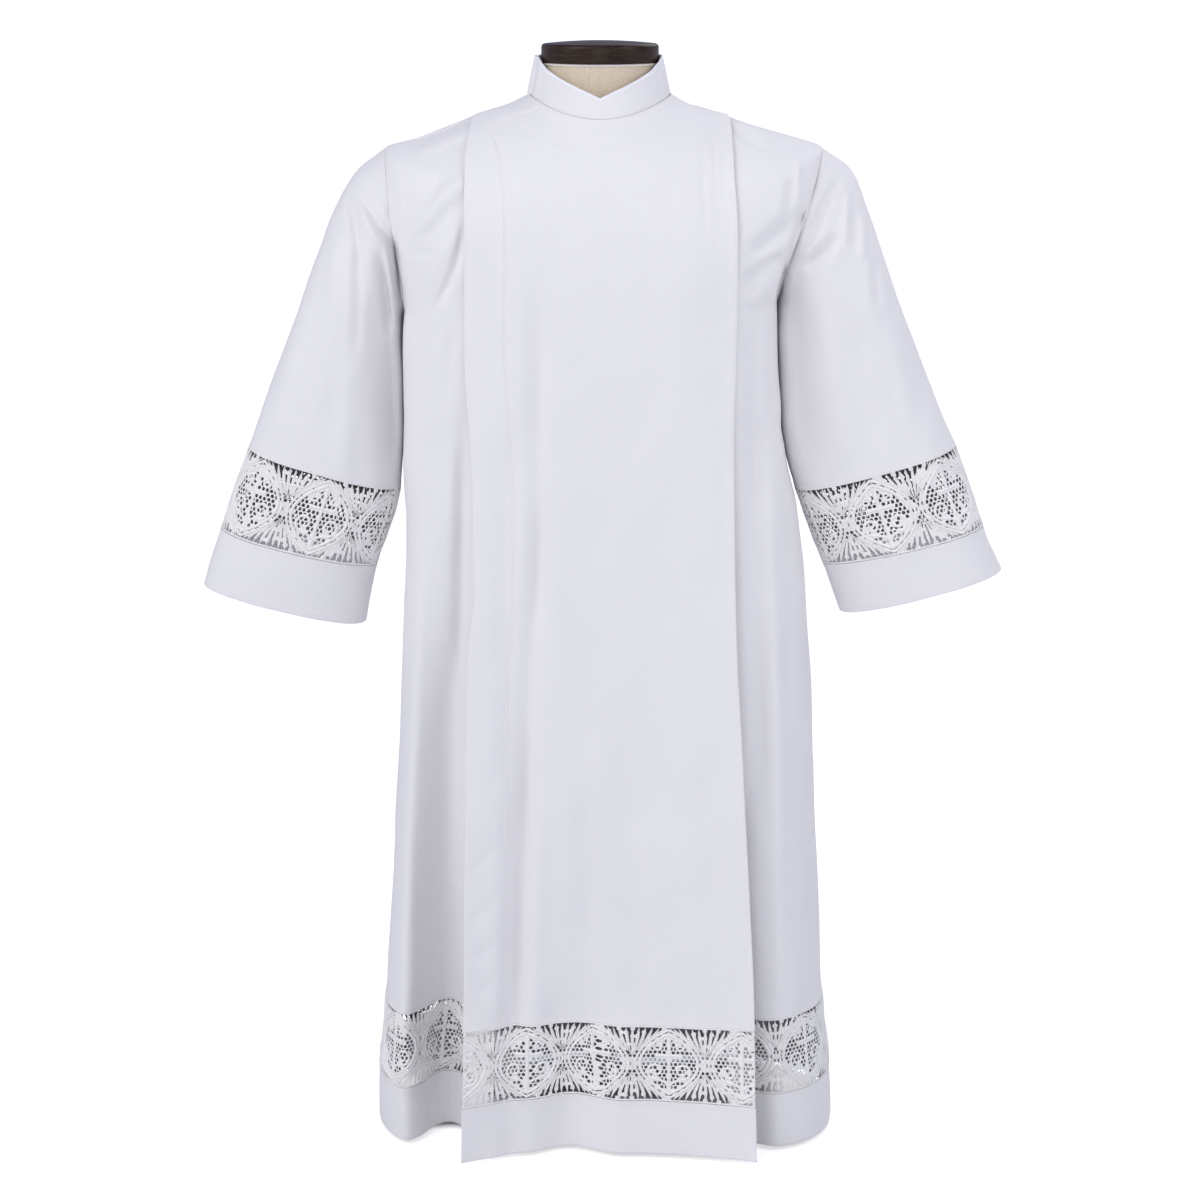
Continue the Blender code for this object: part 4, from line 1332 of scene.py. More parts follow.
class Cord(NamedTuple):
    """A raised line of the lace: its points in the repeat, its widths, its height and whether it is split."""

    points: Array
    widths: Array
    height: float
    split: bool


@dataclass
class LacePattern:
    """One repeat of the lace in millimetres, from the middle of a medallion, with its height from 0."""

    repeat: float = 79.0
    height: float = 85.0
    medallion_half: float = 36.0
    medallion_rise: float = 38.6
    ring_gap: float = 4.6
    net_wide: float = 4.9
    net_tall: float = 4.4
    net_thread: float = 1.35
    tuck: float = 3.5
    open_sprays: bool = True
    thread_share: float = 0.66

    def cords(self) -> list[Cord]:
        """Draw every cord and leaf of a repeat."""
        return self._rings() + self._cross() + self._scrolls() + self._sprays()

    def _arc(self, half: float, rise: float, side: int, width: float, height: float) -> Cord:
        """Draw one side of a pointed ring.

        Args:
            half: Its half width.
            rise: Its half height.
            side: -1 or 1.
            width: The cord's width.
            height: The cord's height.

        Returns:
            The cord.
        """
        t = np.linspace(0.0, 1.0, 25)
        v = rise * np.cos(np.pi * t)
        u = side * half * (1 - (v / rise) ** 2) ** 0.97
        return Cord(np.stack((u, v + self.height / 2), axis=1), np.full(len(t), width), height, False)

    def _rings(self) -> list[Cord]:
        """Draw the medallion's outer and inner rings."""
        half, rise, gap = self.medallion_half, self.medallion_rise, self.ring_gap
        rings = ((half, rise, 2.7, 1.4), (half - gap, rise - gap, 3.6, 1.7))
        return [self._arc(*ring[:2], side, *ring[2:]) for side in (-1, 1) for ring in rings]

    def _bar(self, start: tuple, end: tuple, narrow: float, wide: float) -> Cord:
        """Draw a bar of the cross, flared at its ends.

        Args:
            start: Its first point.
            end: Its last point.
            narrow: Its width in the middle.
            wide: Its width at the ends.

        Returns:
            The bar.
        """
        t = np.linspace(0.0, 1.0, 9)[:, None]
        points = np.array(start) * (1 - t) + np.array(end) * t
        widths = narrow + (wide - narrow) * np.abs(2 * t[:, 0] - 1) ** 3
        return Cord(points + np.array((0.0, self.height / 2)), widths, 1.25, False)

    def _cross(self) -> list[Cord]:
        """Draw the plain cross."""
        return [self._bar((0, -32.0), (0, 32.0), 3.8, 6.4), self._bar((-14.0, 9.5), (14.0, 9.5), 3.4, 5.6)]

    def _scrolls(self) -> list[Cord]:
        """Draw the mirrored scrolls in the medallion's four quarters."""
        scrolls = []
        t, foot = np.linspace(0.0, 1.0, 23), np.linspace(0, 1, 6)[:-1]
        turn = np.radians(-95 + 470 * t)
        lower = (1.0, (14.6, -8.2), 1.0, 1.0, -6.0, 1.0)
        upper = (0.62, (11.6, 20.0), -1.0, 2.0, 4.0, 0.9)
        for side in (-1, 1):
            for grow, centre, way, start, bend, width in (lower, upper):
                radius = grow * (9.6 - 6.6 * t)
                u = centre[0] + radius * np.cos(turn)
                v = centre[1] + radius * np.sin(turn) * way
                u = np.concatenate((np.linspace(start, u[0], 6)[:-1], u)) * side
                v = np.concatenate((v[0] + bend * (1 - foot) ** 2, v)) + self.height / 2
                widths = np.concatenate((np.full(5, 2.8), np.linspace(3.3, 2.4, 23))) * width
                scrolls.append(Cord(np.stack((u, v), axis=1), widths, 1.1, False))
        return scrolls

    def _leaf(self, start: Array, end: Array, bow: float, width: float) -> Cord:
        """Draw a leaf that bends to one side.

        Args:
            start: Its foot.
            end: Its tip.
            bow: How far its middle lies aside.
            width: Its greatest width.

        Returns:
            The leaf.
        """
        t = np.linspace(0.0, 1.0, 8)
        run = end - start
        aside = np.array((run[1], -run[0])) / np.linalg.norm(run)
        points = start + t[:, None] * run + aside * (bow * 4 * t * (1 - t))[:, None]
        widths = width * (0.20 + 0.80 * np.sin(np.pi * t**1.5) ** 0.8)
        return Cord(points, widths, 0.95, True)

    def _sprays(self) -> list[Cord]:
        """Draw the leaf sprays above and below, between this medallion and the next."""
        leaves = []
        middle_u, middle_v = self.repeat / 2, self.height / 2
        table = (
            ((0.0, 9.0), (0.0, 40.2), 0.0, 3.6),
            ((1.2, 11.0), (7.0, 40.2), 0.9, 3.8),
            ((2.2, 12.5), (14.2, 40.2), 1.8, 3.8),
            ((3.4, 14.0), (21.6, 40.2), 2.6, 3.6),
            ((5.6, 18.0), (29.0, 40.2), 2.6, 3.0),
            ((11.0, 26.0), (35.4, 40.6), 1.6, 2.2),
        )
        for upwards, side in ((-1, -1), (-1, 1), (1, -1), (1, 1)):
            for start, end, bow, width in table[1 if side < 0 else 0:]:
                places = np.array((start, end)) * (side, upwards) + (middle_u, middle_v)
                leaves.append(self._leaf(*places, bow * side * upwards, width))
        knot = np.linspace(-1.0, 1.0, 7)
        points = np.stack((np.full(7, middle_u), middle_v + 6.5 * knot), axis=1)
        leaves.append(Cord(points, 1.2 + 1.6 * (1 - knot**2), 1.0, True))
        return leaves


@dataclass
class LaceBand:
    """A stretch of lace on a surface, with its net, its cords and its edges."""

    node: str
    surface: Surface
    length: float
    height: float
    first_centre: float
    repeat: float
    pattern: LacePattern
    net_half: float = 0.22
    cover: float = 0.62
    _cords: list[Cord] = field(init=False, default_factory=list)

    def build(self) -> list[Piece]:
        """Make the net and the cords on it."""
        self._cords, name = self._laid(), "alb_" + self.node
        net = dress(self._placed(name, [self._net()]), "lace", self.node)
        return [net, dress(self._placed(name + "_cords", map(self._ribbon, self._cords)), "lace")]

    def _placed(self, name: str, parts: Iterable[tuple[Array, Array]]) -> Piece:
        """Lay flat parts onto the surface, with their edges under the neighbouring cloth, and paint the faces
        on their inner side in shade.

        Args:
            name: The piece's name.
            parts: Points and triangles in the band's millimetres.

        Returns:
            The object.
        """
        points, corners, used = [], [], 0
        for part_points, part_corners in parts:
            points.append(part_points)
            corners.append(part_corners + used)
            used += len(part_points)
        flat = np.concatenate(points)
        tuck, height = self.pattern.tuck, self.pattern.height
        beyond = eased(np.maximum(-flat[:, 1], flat[:, 1] - height) / 0.7 + 0.2)
        lifted = flat[:, 2] * (1 - 0.8 * beyond) - 1.25 * beyond
        upwards = (flat[:, 1] + tuck) / (height + 2 * tuck)
        placed = self.surface.sample(flat[:, 0] / (self.length / MM), upwards, lifted * MM)
        faces = np.concatenate(corners)
        if self.surface.turned:
            faces = faces[:, ::-1]
        made = add_mesh(name, placed, faces, LACE_COTTON.build(), sharp=75.0)
        # The faces on the lace's inner side take the dark grey lace: a painted shade, so that the holes read
        # dark
        made.data.materials.append(LACE_PAINTED_SHADE.build())
        inside = (flat[faces, 2] < 0.0).all(axis=1)
        made.data.polygons.foreach_set("material_index", inside.astype(np.int32))
        return made

    def _laid(self) -> list[Cord]:
        """Lay the repeats along the band and cut them at its ends.

        Returns:
            The cords in the band's millimetres.
        """
        length, repeat, pattern = self.length / MM, self.repeat / MM, self.pattern
        cords = []
        start = self.first_centre / MM - repeat * math.ceil(self.first_centre / self.repeat)
        while start < length + repeat:
            for cord in pattern.cords():
                points = cord.points * (repeat / pattern.repeat, 1.0) + (start, 0.0)
                cords += self._cut(cord._replace(points=points), length)
            start += repeat
        edge = np.linspace(0.0, length, max(2, round(length / 6)))
        for height in (1.0, pattern.height - 1.0):
            line = np.stack((edge, np.full(len(edge), height)), axis=1)
            cords.append(Cord(line, np.full(len(edge), 1.9), 0.8, False))
        return cords

    @staticmethod
    def _cut(cord: Cord, length: float) -> list[Cord]:
        """Cut a cord at the band's ends.

        Args:
            cord: The cord.
            length: The band's length in millimetres.

        Returns:
            What is left of it.
        """
        u = cord.points[:, 0]
        if u.min() >= 0.0 and u.max() <= length:
            return [cord]
        inside = np.flatnonzero((u > 0.0) & (u < length))
        kept = []
        for run in np.split(inside, np.flatnonzero(np.diff(inside) > 1) + 1):
            if not len(run):
                continue
            points, widths = cord.points[run], cord.widths[run]
            for near, beyond in ((run[0], run[0] - 1), (run[-1], run[-1] + 1)):
                if 0 <= beyond < len(u):
                    share = ((0.0 if u[beyond] <= 0.0 else length) - u[near]) / (u[beyond] - u[near])
                    crossing = cord.points[near] + share * (cord.points[beyond] - cord.points[near])
                    at = 0 if beyond < near else len(points)
                    points = np.insert(points, at, crossing, axis=0)
                    widths = np.insert(widths, at, cord.widths[near])
            if len(points) > 1:
                kept.append(cord._replace(points=points, widths=widths))
        return kept

    @staticmethod
    def _ribbon(cord: Cord) -> tuple[Array, Array]:
        """Give a cord its rounded section.

        Args:
            cord: The cord.

        Returns:
            Its points and its triangles.
        """
        run = unit(np.gradient(cord.points, axis=0))
        aside = np.stack((-run[:, 1], run[:, 0]), axis=1)
        shoulder, rise, crown = (0.28, 1.0, 0.45) if cord.split else (0.34, 0.62, 1.0)
        section = np.array(((-0.5, -0.35), (-shoulder, rise), (0.0, crown), (shoulder, rise), (0.5, -0.35)))
        count = len(cord.points)
        spread = section[None, :, 0] * cord.widths[:, None]
        flat = cord.points[:, None, :] + aside[:, None, :] * spread[..., None]
        height = np.broadcast_to(section[None, :, 1] * cord.height, (count, 5))
        points = np.concatenate((flat, height[..., None]), axis=2).reshape(-1, 3)
        faces = []
        for k in range(5):
            after = (k + 1) % 5
            base = np.arange(count - 1) * 5
            a, b, c, d = base + k, base + after, base + 5 + after, base + 5 + k
            faces += [np.stack((a, b, c), axis=1), np.stack((a, c, d), axis=1)]
        caps = np.array(((0, 2, 1), (0, 3, 2), (0, 4, 3)))
        faces += [caps, caps[:, ::-1] + (count - 1) * 5]
        return points, np.concatenate(faces)[:, ::-1]

    def _covered(self, places: Array) -> Array:
        """Tell which places lie under the middle of a cord.

        Args:
            places: The places in the band's millimetres.

        Returns:
            True for each place that is covered.
        """
        covered = np.zeros(len(places), dtype=bool)
        for cord in self._cords:
            near = (places > cord.points.min(axis=0) - 3.0).all(axis=1)
            near &= (places < cord.points.max(axis=0) + 3.0).all(axis=1)
            if not near.any():
                continue
            start, run = cord.points[:-1], np.diff(cord.points, axis=0)
            away = places[near][:, None] - start[None]
            along_it = (away * run).sum(axis=2) / np.maximum((run**2).sum(axis=1), 1e-9)
            away = away - np.clip(along_it, 0.0, 1.0)[..., None] * run
            half = (cord.widths[:-1] + cord.widths[1:]) / 4
            covered[near] |= (np.linalg.norm(away, axis=2) < half * self.cover).any(axis=1)
        return covered

    def _among_leaves(self, places: Array) -> Array:
        """Tell which places lie among the leaf sprays, where the lace has no net.

        Args:
            places: The places in the band's millimetres.

        Returns:
            True for each place among leaves.
        """
        pattern = self.pattern
        if not pattern.open_sprays:
            return np.zeros(len(places), dtype=bool)
        repeat = self.repeat / MM
        aside = np.abs((places[:, 0] - self.first_centre / MM + repeat / 2) % repeat - repeat / 2)
        rise = np.abs(places[:, 1] - pattern.height / 2) / (pattern.medallion_rise + 2.0)
        ring = (pattern.medallion_half + 2.6) * np.maximum(1 - rise**2, 0.0) ** 0.97
        return (aside * pattern.repeat / repeat > ring) & (rise > 0.30)

    def _net(self) -> tuple[Array, Array]:
        """Make the net of rounded holes under the cords. Its rows of cells are staggered.

        Returns:
            Its points and its triangles.
        """
        pattern = self.pattern
        length, low, high = self.length / MM, -pattern.tuck, pattern.height + pattern.tuck
        across = 2 * max(1, round(length / pattern.net_wide))
        upwards = round((high - low) / pattern.net_tall)
        u, v = np.meshgrid(np.linspace(0, length, across + 1), np.linspace(low, high, upwards + 1))
        k, j = np.indices(u.shape)
        inner = (u > 0) & (u < length) & (v > low) & (v < high)
        zigzag = np.where((k + j) % 2 == 0, 1.0, -1.0) * pattern.net_tall * 0.13
        u = u + 0.30 * np.sin(1.7 * u + 0.9 * v) * inner
        v = v + (zigzag + 0.30 * np.sin(1.3 * u - 2.1 * v)) * inner
        flat = [np.stack((u, v), axis=-1).reshape(-1, 2)]
        number = k * (across + 1) + j
        cells, solid = [], []
        for row in range(upwards):
            hidden = v[row + 1].mean() < 0.6 or v[row].mean() > pattern.height - 0.6
            start = row % 2
            if start:
                for c in (0, across - 1):
                    solid.append((number[row, c : c + 2], number[row + 1, c : c + 2]))
            first = np.arange(start, across - 1, 2)
            low_line = [number[row, first + step] for step in (0, 1, 2)]
            high_line = [number[row + 1, first + step] for step in (2, 1, 0)]
            outer = np.stack(low_line + high_line, axis=1)
            if hidden:
                solid.append(outer)
                continue
            centres = flat[0][outer].mean(axis=1)
            covered = self._covered(centres)
            solid.append(outer[covered])
            cells.append(outer[~covered & ~self._among_leaves(centres)])
        outer = np.concatenate(cells)
        corners = flat[0][outer]
        middle = corners.mean(axis=1, keepdims=True)
        arms = corners - middle
        reach = np.linalg.norm(arms, axis=2, keepdims=True)
        rounded = 0.55 * reach.mean(axis=1, keepdims=True) + 0.45 * reach
        holes = middle + arms / reach * rounded * (1 - pattern.net_thread / pattern.net_wide)
        flat.append(holes.reshape(-1, 2))
        points = np.concatenate(flat)
        total, base = len(points), len(flat[0])
        hole = base + np.arange(outer.size).reshape(outer.shape)
        front = np.concatenate((points, np.full((total, 1), self.net_half)), axis=1)
        back = np.concatenate((points, np.full((total, 1), -self.net_half)), axis=1)
        faces = []
        for side in range(6):
            after = (side + 1) % 6
            a, b, c, d = outer[:, side], outer[:, after], hole[:, after], hole[:, side]
            quads = ((a, b, c, d), (b + total, a + total, d + total, c + total), (d, c, c + total, d + total))
            for quad in quads:
                faces += [np.stack(quad[:3], axis=1), np.stack((quad[0], quad[2], quad[3]), axis=1)]
        for part in solid:
            if isinstance(part, tuple):
                part = np.concatenate((part[0], part[1][::-1]))[None]
            for side in range(1, part.shape[1] - 1):
                one = np.stack((part[:, 0], part[:, side], part[:, side + 1]), axis=1)
                faces += [one, one[:, ::-1] + total]
        for line in (number[0], number[-1][::-1], number[::-1, 0], number[:, -1]):
            a, b = line[:-1], line[1:]
            faces += [np.stack((b, a, a + total), axis=1), np.stack((b, a + total, b + total), axis=1)]
        return np.concatenate((front, back)), np.concatenate(faces)


# ---------------------------------------------------------------- the body


@dataclass(frozen=True)
class Stations:
    """Where a panel's columns stand: close together by its edges and evenly between."""

    near_first: tuple[float, ...]
    near_last: tuple[float, ...]
    count: int

    def distances(self, length: float) -> Array:
        """Give the columns' distances from the first edge.

        Args:
            length: The row's length.

        Returns:
            The distances.
        """
        first = np.array(self.near_first) * MM
        last = length - np.array(self.near_last[::-1]) * MM
        middle = np.linspace(first[-1], last[0], self.count + 1)[1:-1]
        return np.concatenate((first, middle, last))


# Cloth that is doubled is this much thicker
DOUBLED = 1.7
LACE_ROWS, LACE_REPEAT = 28, 0.079
HEM_STATIONS = np.array((
    0.0, 0.0015, 0.004, 0.008, 0.014, 0.020, 0.026, 0.032, 0.038, 0.044, 0.050, 0.0545, 0.0560, 0.0575, 0.0588,
    HEM_BAND - SEAM,
))
SEAM_STATIONS = (0.0, 1.2, 3.0, 6.0)
PLACKET, PLACKET_LINE = 0.0428, 0.0409
PLACKET_STATIONS = (
    0.0, 0.8, 2.0, 4.5, 8.0, 12.0, 16.0, 20.0, 24.0, 28.5, 33.0, 36.8, 39.6, 40.7, 41.5, 42.3, 43.1, 44.8, 47.8,
)


@dataclass
class Panel:
    """A cut piece of the body: its cloth, its lace and its hem."""

    name: str
    surface_points: Callable[[float, Array], Array]
    ends: Callable[[float], tuple[float, float]]
    lift: Callable[[float], float]
    top: float
    stations: Stations
    front: Sequence[Crease]
    back: Sequence[Crease]
    first_centre: float
    cloth: float = 0.0009
    seams: tuple[Edge, ...] = ()
    free: tuple[Edge, ...] = ()
    tucked: tuple[Edge, ...] = ()
    flat: tuple[float, float] = (0.3, 0.9)
    rests_on: tuple[str, ...] = ("form_cover",)
    skirt_rows: int = 116
    chest_rows: int = 60

    def rows(self) -> Array:
        """Give the rows of the cloth above the lace.

        Returns:
            The row numbers.
        """
        low = HEM + HEM_BAND + LACE_BAND
        near = low + np.array((0.0, 0.0008, 0.002, 0.0035, 0.0055, 0.009)) + SEAM / 2
        skirt = np.concatenate((near, np.linspace(near[-1], 0.905, self.skirt_rows)[1:]))
        beyond = np.linspace(2.0, self.top, max(4, round((self.top - 2) * self.chest_rows)))[1:]
        return np.concatenate((row_at(skirt), np.linspace(1.0, 2.0, self.chest_rows), beyond))

    def surface(self, rows: Array, even: int = 0) -> Surface:
        """Work out the piece's surface over rows.

        Args:
            rows: The row numbers.
            even: The number of even columns, or 0 for the panel's stations.

        Returns:
            The surface, creased.
        """
        lines = []
        for row in map(float, rows):
            angles = np.linspace(*self.ends(row), 81)
            reach = reach_along(self.surface_points(row, angles))
            wanted = np.linspace(0, reach[-1], even) if even else self.stations.distances(reach[-1])
            lines.append(self.surface_points(row, np.interp(wanted, reach, angles)))
        made = Surface(closed_up(np.stack(lines), True))
        whole = np.ones(made.points.shape[:2])
        made.move(np.array([self.lift(float(row)) for row in rows])[:, None] * whole)
        still = whole * eased((self.top - rows) / 0.25)[:, None]
        for edge, distance in made.from_sides:
            if edge in self.seams:
                still *= eased(distance / 0.03)
        made.crumple(self.front, self.back, still)
        return made

    def relief(self, surface: Surface) -> Array:
        """Work out the low steps of the sewing: seam grooves and folded edges.

        Args:
            surface: The cloth's surface.

        Returns:
            The depth outwards at each point.
        """
        depth = np.zeros(surface.points.shape[:2])
        for edge, distance in surface.from_sides:
            if edge in self.seams:
                depth -= 0.00025 * (1 - eased(distance / 0.0025))
            if edge in self.free:
                depth -= 0.0003 * (1 - eased(distance / 0.0015))
        return depth + turned_edge(surface.upwards)

    def build(self) -> list[Piece]:
        """Make the cloth, the lace and the hem.

        Returns:
            The pieces.
        """
        finish, rows = CLOTH.build(), self.rows()
        cloth = self.surface(rows)
        cloth.move(self.relief(cloth))
        stitches = Stitching("stitches_" + self.name)
        stitches.sew(*cloth.edge_line(Edge.BOTTOM, STITCH_LINE))
        self.sew_more(cloth, stitches)
        area = self.flat_area(cloth)
        beside = eased((1.0 - rows) / 0.02) + eased((rows - 2.0) / 0.02)
        for edge in self.tucked:
            cloth.tuck(edge, 0.0001 + 0.0024 * beside, 0.0001 + (self.cloth + 0.0001) * beside)
        thickness = self._thickness(cloth, rows)
        body = dress(cloth.shell("alb_" + self.name, finish, thickness, self.free), "cloth", self.name)

        pattern = LacePattern()
        low, tuck = HEM + HEM_BAND, pattern.tuck * MM
        heights = np.linspace(low - tuck, low + LACE_BAND + tuck, LACE_ROWS)
        band = self.surface(row_at(heights), even=round(self.flat[0] / 0.003))
        length = float(reach_along(band.points[LACE_ROWS // 2])[-1])
        centre = (self.first_centre if self.first_centre >= 0 else length + self.first_centre) % LACE_REPEAT
        lace = LaceBand("lace_" + self.name, band, length, LACE_BAND, centre, LACE_REPEAT, pattern)
        net, cords = lace.build()

        hem = self.surface(row_at(HEM + HEM_STATIONS))
        hem.move(turned_edge(HEM_BAND - HEM_STATIONS[:, None] + 0 * hem.across))
        stitches.sew(*hem.edge_line(Edge.TOP, STITCH_LINE))
        even, doubled = np.ones(len(HEM_STATIONS)), self.cloth * DOUBLED
        for edge in self.tucked:
            hem.tuck(edge, even * 0.0024, even * (doubled + 0.0001))
        thick = np.full(hem.points.shape[:2], doubled)
        piece = hem.shell("alb_hem_" + self.name, finish, thick, (Edge.BOTTOM, *self.free))
        skirt_hem = dress(piece, "cloth", "hem_" + self.name)
        thread = dress(stitches.build(), "cloth")
        LOG.info("%s: lace %.3f m, hem %.3f m", self.name, length, hem.across[0, -1])
        return [body, net, cords, skirt_hem, thread]

    def _thickness(self, cloth: Surface, rows: Array) -> Array:
        """Thin the cloth towards its armhole, where the sleeve's head runs under it.

        Args:
            cloth: The cloth.
            rows: Its row numbers.

        Returns:
            The thickness at each point.
        """
        thickness = np.full(cloth.points.shape[:2], self.cloth)
        beside_arm = (eased((rows - 0.98) / 0.02) * eased((2.02 - rows) / 0.02))[:, None]
        for edge, distance in cloth.from_sides:
            if edge in self.seams:
                thickness -= (self.cloth - 0.00030) * (1 - eased(distance / 0.006)) * beside_arm
        return thickness

    def flat_area(self, cloth: Surface) -> float:
        """Give the cloth's flat area, as the sum of its rows' lengths over its height."""
        across, rectangle = cloth.across[:, -1], self.flat[0] * self.flat[1]
        steps = np.diff(reach_along(cloth.points.mean(axis=1)))
        area = float(((across[:-1] + across[1:]) / 2 * steps).sum())
        LOG.info("%s: %.3f m wide at most, area %.4f m2 of %.4f", self.name, across.max(), area, rectangle)
        return min(area, rectangle)

    def sew_more(self, cloth: Surface, stitches: Stitching) -> None:
        """Sew what is special to this piece; most have nothing more."""


@dataclass
class LapPanel(Panel):
    """The lap, with its placket at the wearer's right and its folded edge at the left."""

    def relief(self, surface: Surface) -> Array:
        """Add the placket's step and the rolled edges.

        Args:
            surface: The cloth's surface.

        Returns:
            The depth outwards at each point.
        """
        depth = super().relief(surface)
        across = surface.across
        back = across[:, -1:] - across
        depth += 0.0007 * (1 - eased((back - (PLACKET - 0.0006)) / 0.0012))
        depth -= 0.0006 * bell((back - PLACKET_LINE) / 0.0016)
        depth += 0.0009 * (1 - eased((across - 0.004) / 0.006))
        return depth

    def sew_more(self, cloth: Surface, stitches: Stitching) -> None:
        """Sew the placket's line."""
        stitches.sew(*cloth.edge_line(Edge.LAST, PLACKET_LINE))


# ---------------------------------------------------------------- the sleeves


@dataclass
class Sleeve:
    """A sleeve: its upper part, its lace in two halves and its cuff."""

    side: int
    name: str
    front_columns: int = 96
    back_columns: int = 44
    cloth: float = 0.0009
    lace_height: float = 0.097

    def surface(self, shares: Array, turns: Array, closed: bool) -> Surface:
        """Work out the sleeve's surface.

        Args:
            shares: Places along the sleeve, downwards.
            turns: Degrees round it.
            closed: Whether the turns go all round.

        Returns:
            The surface, creased.
        """
        def mine(creases: Sequence[Crease]) -> tuple[Crease, ...]:
            """Pick the creases of this side."""
            return tuple(crease for crease in creases if crease.from_x * self.side > 0)

        lines = np.stack([sleeve_points(self.side, share, turns) for share in map(float, shares)])
        lines[shares == 0.0] -= armhole_inwards(self.side) * SEAM
        centres = np.stack([sleeve_ring(self.side, share)[0] for share in map(float, shares)])
        centres = np.broadcast_to(centres[:, None], lines.shape)
        made = Surface(closed_up(lines, False), closed, centres)
        still = eased(shares / 0.12)[:, None] * np.ones(len(turns))
        front = SLEEVE_FRONT_CREASES[self.side] + mine(ARMHOLE_FRONT_CREASES)
        made.crumple(front, SLEEVE_BACK_CREASES[self.side] + mine(ARMHOLE_BACK_CREASES), still)
        return made

    def build(self) -> list[Piece]:
        """Make the sleeve.

        Returns:
            The pieces.
        """
        finish = CLOTH.build()
        turns = np.concatenate((
            np.linspace(0.0, 180.0, self.front_columns, endpoint=False),
            np.linspace(180.0, 360.0, self.back_columns, endpoint=False),
        ))
        shares = np.concatenate((
            (0.0, 0.004, 0.009, 0.015), np.linspace(0.023, 0.36, 58),
            np.linspace(0.36, LACE_TOP - 0.020, 30)[1:],
            LACE_TOP - np.array((0.014, 0.0105, 0.0085, 0.0068, 0.0045, 0.002, 0.0)),
        ))
        upper = self.surface(shares, turns, True)
        reach = upper.upwards
        upper.move(turned_edge(reach[-1:] - reach) + 0.0004 * bell((reach - 0.006) / 0.006))
        stitches = Stitching("stitches_sleeve_" + self.name)
        stitches.sew(*upper.edge_line(Edge.TOP, STITCH_LINE))
        even = np.ones(len(turns))
        upper.tuck(Edge.BOTTOM, even * 0.0028, even * 0.00042, armhole_inwards(self.side))
        thick = np.full(upper.points.shape[:2], self.cloth)
        body = dress(upper.shell("alb_sleeve_" + self.name, finish, thick), "cloth", "sleeve_" + self.name)

        laces = []
        close_net = LacePattern(net_thread=2.5, open_sprays=False, thread_share=0.90)
        for half, low, pattern in (("front", 0.0, LacePattern()), ("back", 180.0, close_net)):
            lace_turns = np.linspace(low, low + 180.0, 79)
            beyond = pattern.tuck / pattern.height * (LACE_LOW - LACE_TOP)
            lace_shares = np.linspace(LACE_LOW + beyond, LACE_TOP - beyond, LACE_ROWS)
            line = reach_along(self.surface(lace_shares, lace_turns, False).points[LACE_ROWS // 2])
            length = float(line[-1])
            band = self.surface(lace_shares, np.interp(np.linspace(0.0, length, 79), line, lace_turns), False)
            name = f"lace_sleeve_{self.name}_{half}"
            LOG.info("%s: %.3f m long", name, length)
            lace = LaceBand(name, band, length, self.lace_height, length / 9, length / 3, pattern)
            made = lace.build()
            laces += made

        cuff_shares = np.concatenate((
            LACE_LOW + np.array((0.001, 0.004, 0.008, 0.012)), np.linspace(LACE_LOW + 0.018, 0.99, 20),
            (0.994, 0.998, 1.0),
        ))
        cuff = self.surface(cuff_shares, turns, True)
        cuff.move(turned_edge(cuff.upwards))
        thick = np.full(cuff.points.shape[:2], self.cloth * DOUBLED)
        made = cuff.shell("alb_cuff_" + self.name, finish, thick, (Edge.TOP,))
        cuff_piece = dress(made, "cloth", "cuff_" + self.name)
        stitches.sew(*cuff.edge_line(Edge.BOTTOM, STITCH_LINE))
        for distance in (0.0045, 0.0125, 0.0205):
            stitches.sew(*cuff.edge_line(Edge.TOP, distance))
        thread = dress(stitches.build(), "cloth")
        area = float(upper.across[:, -1].mean() * upper.upwards[-1].mean())
        LOG.info("sleeve %s: %.3f m round, area %.4f m2", self.name, upper.across[:, -1].max(), area)
        width = round(float(cuff.across[3, -1]), 3)
        return [body, cuff_piece, thread] + laces


# ---------------------------------------------------------------- the collar


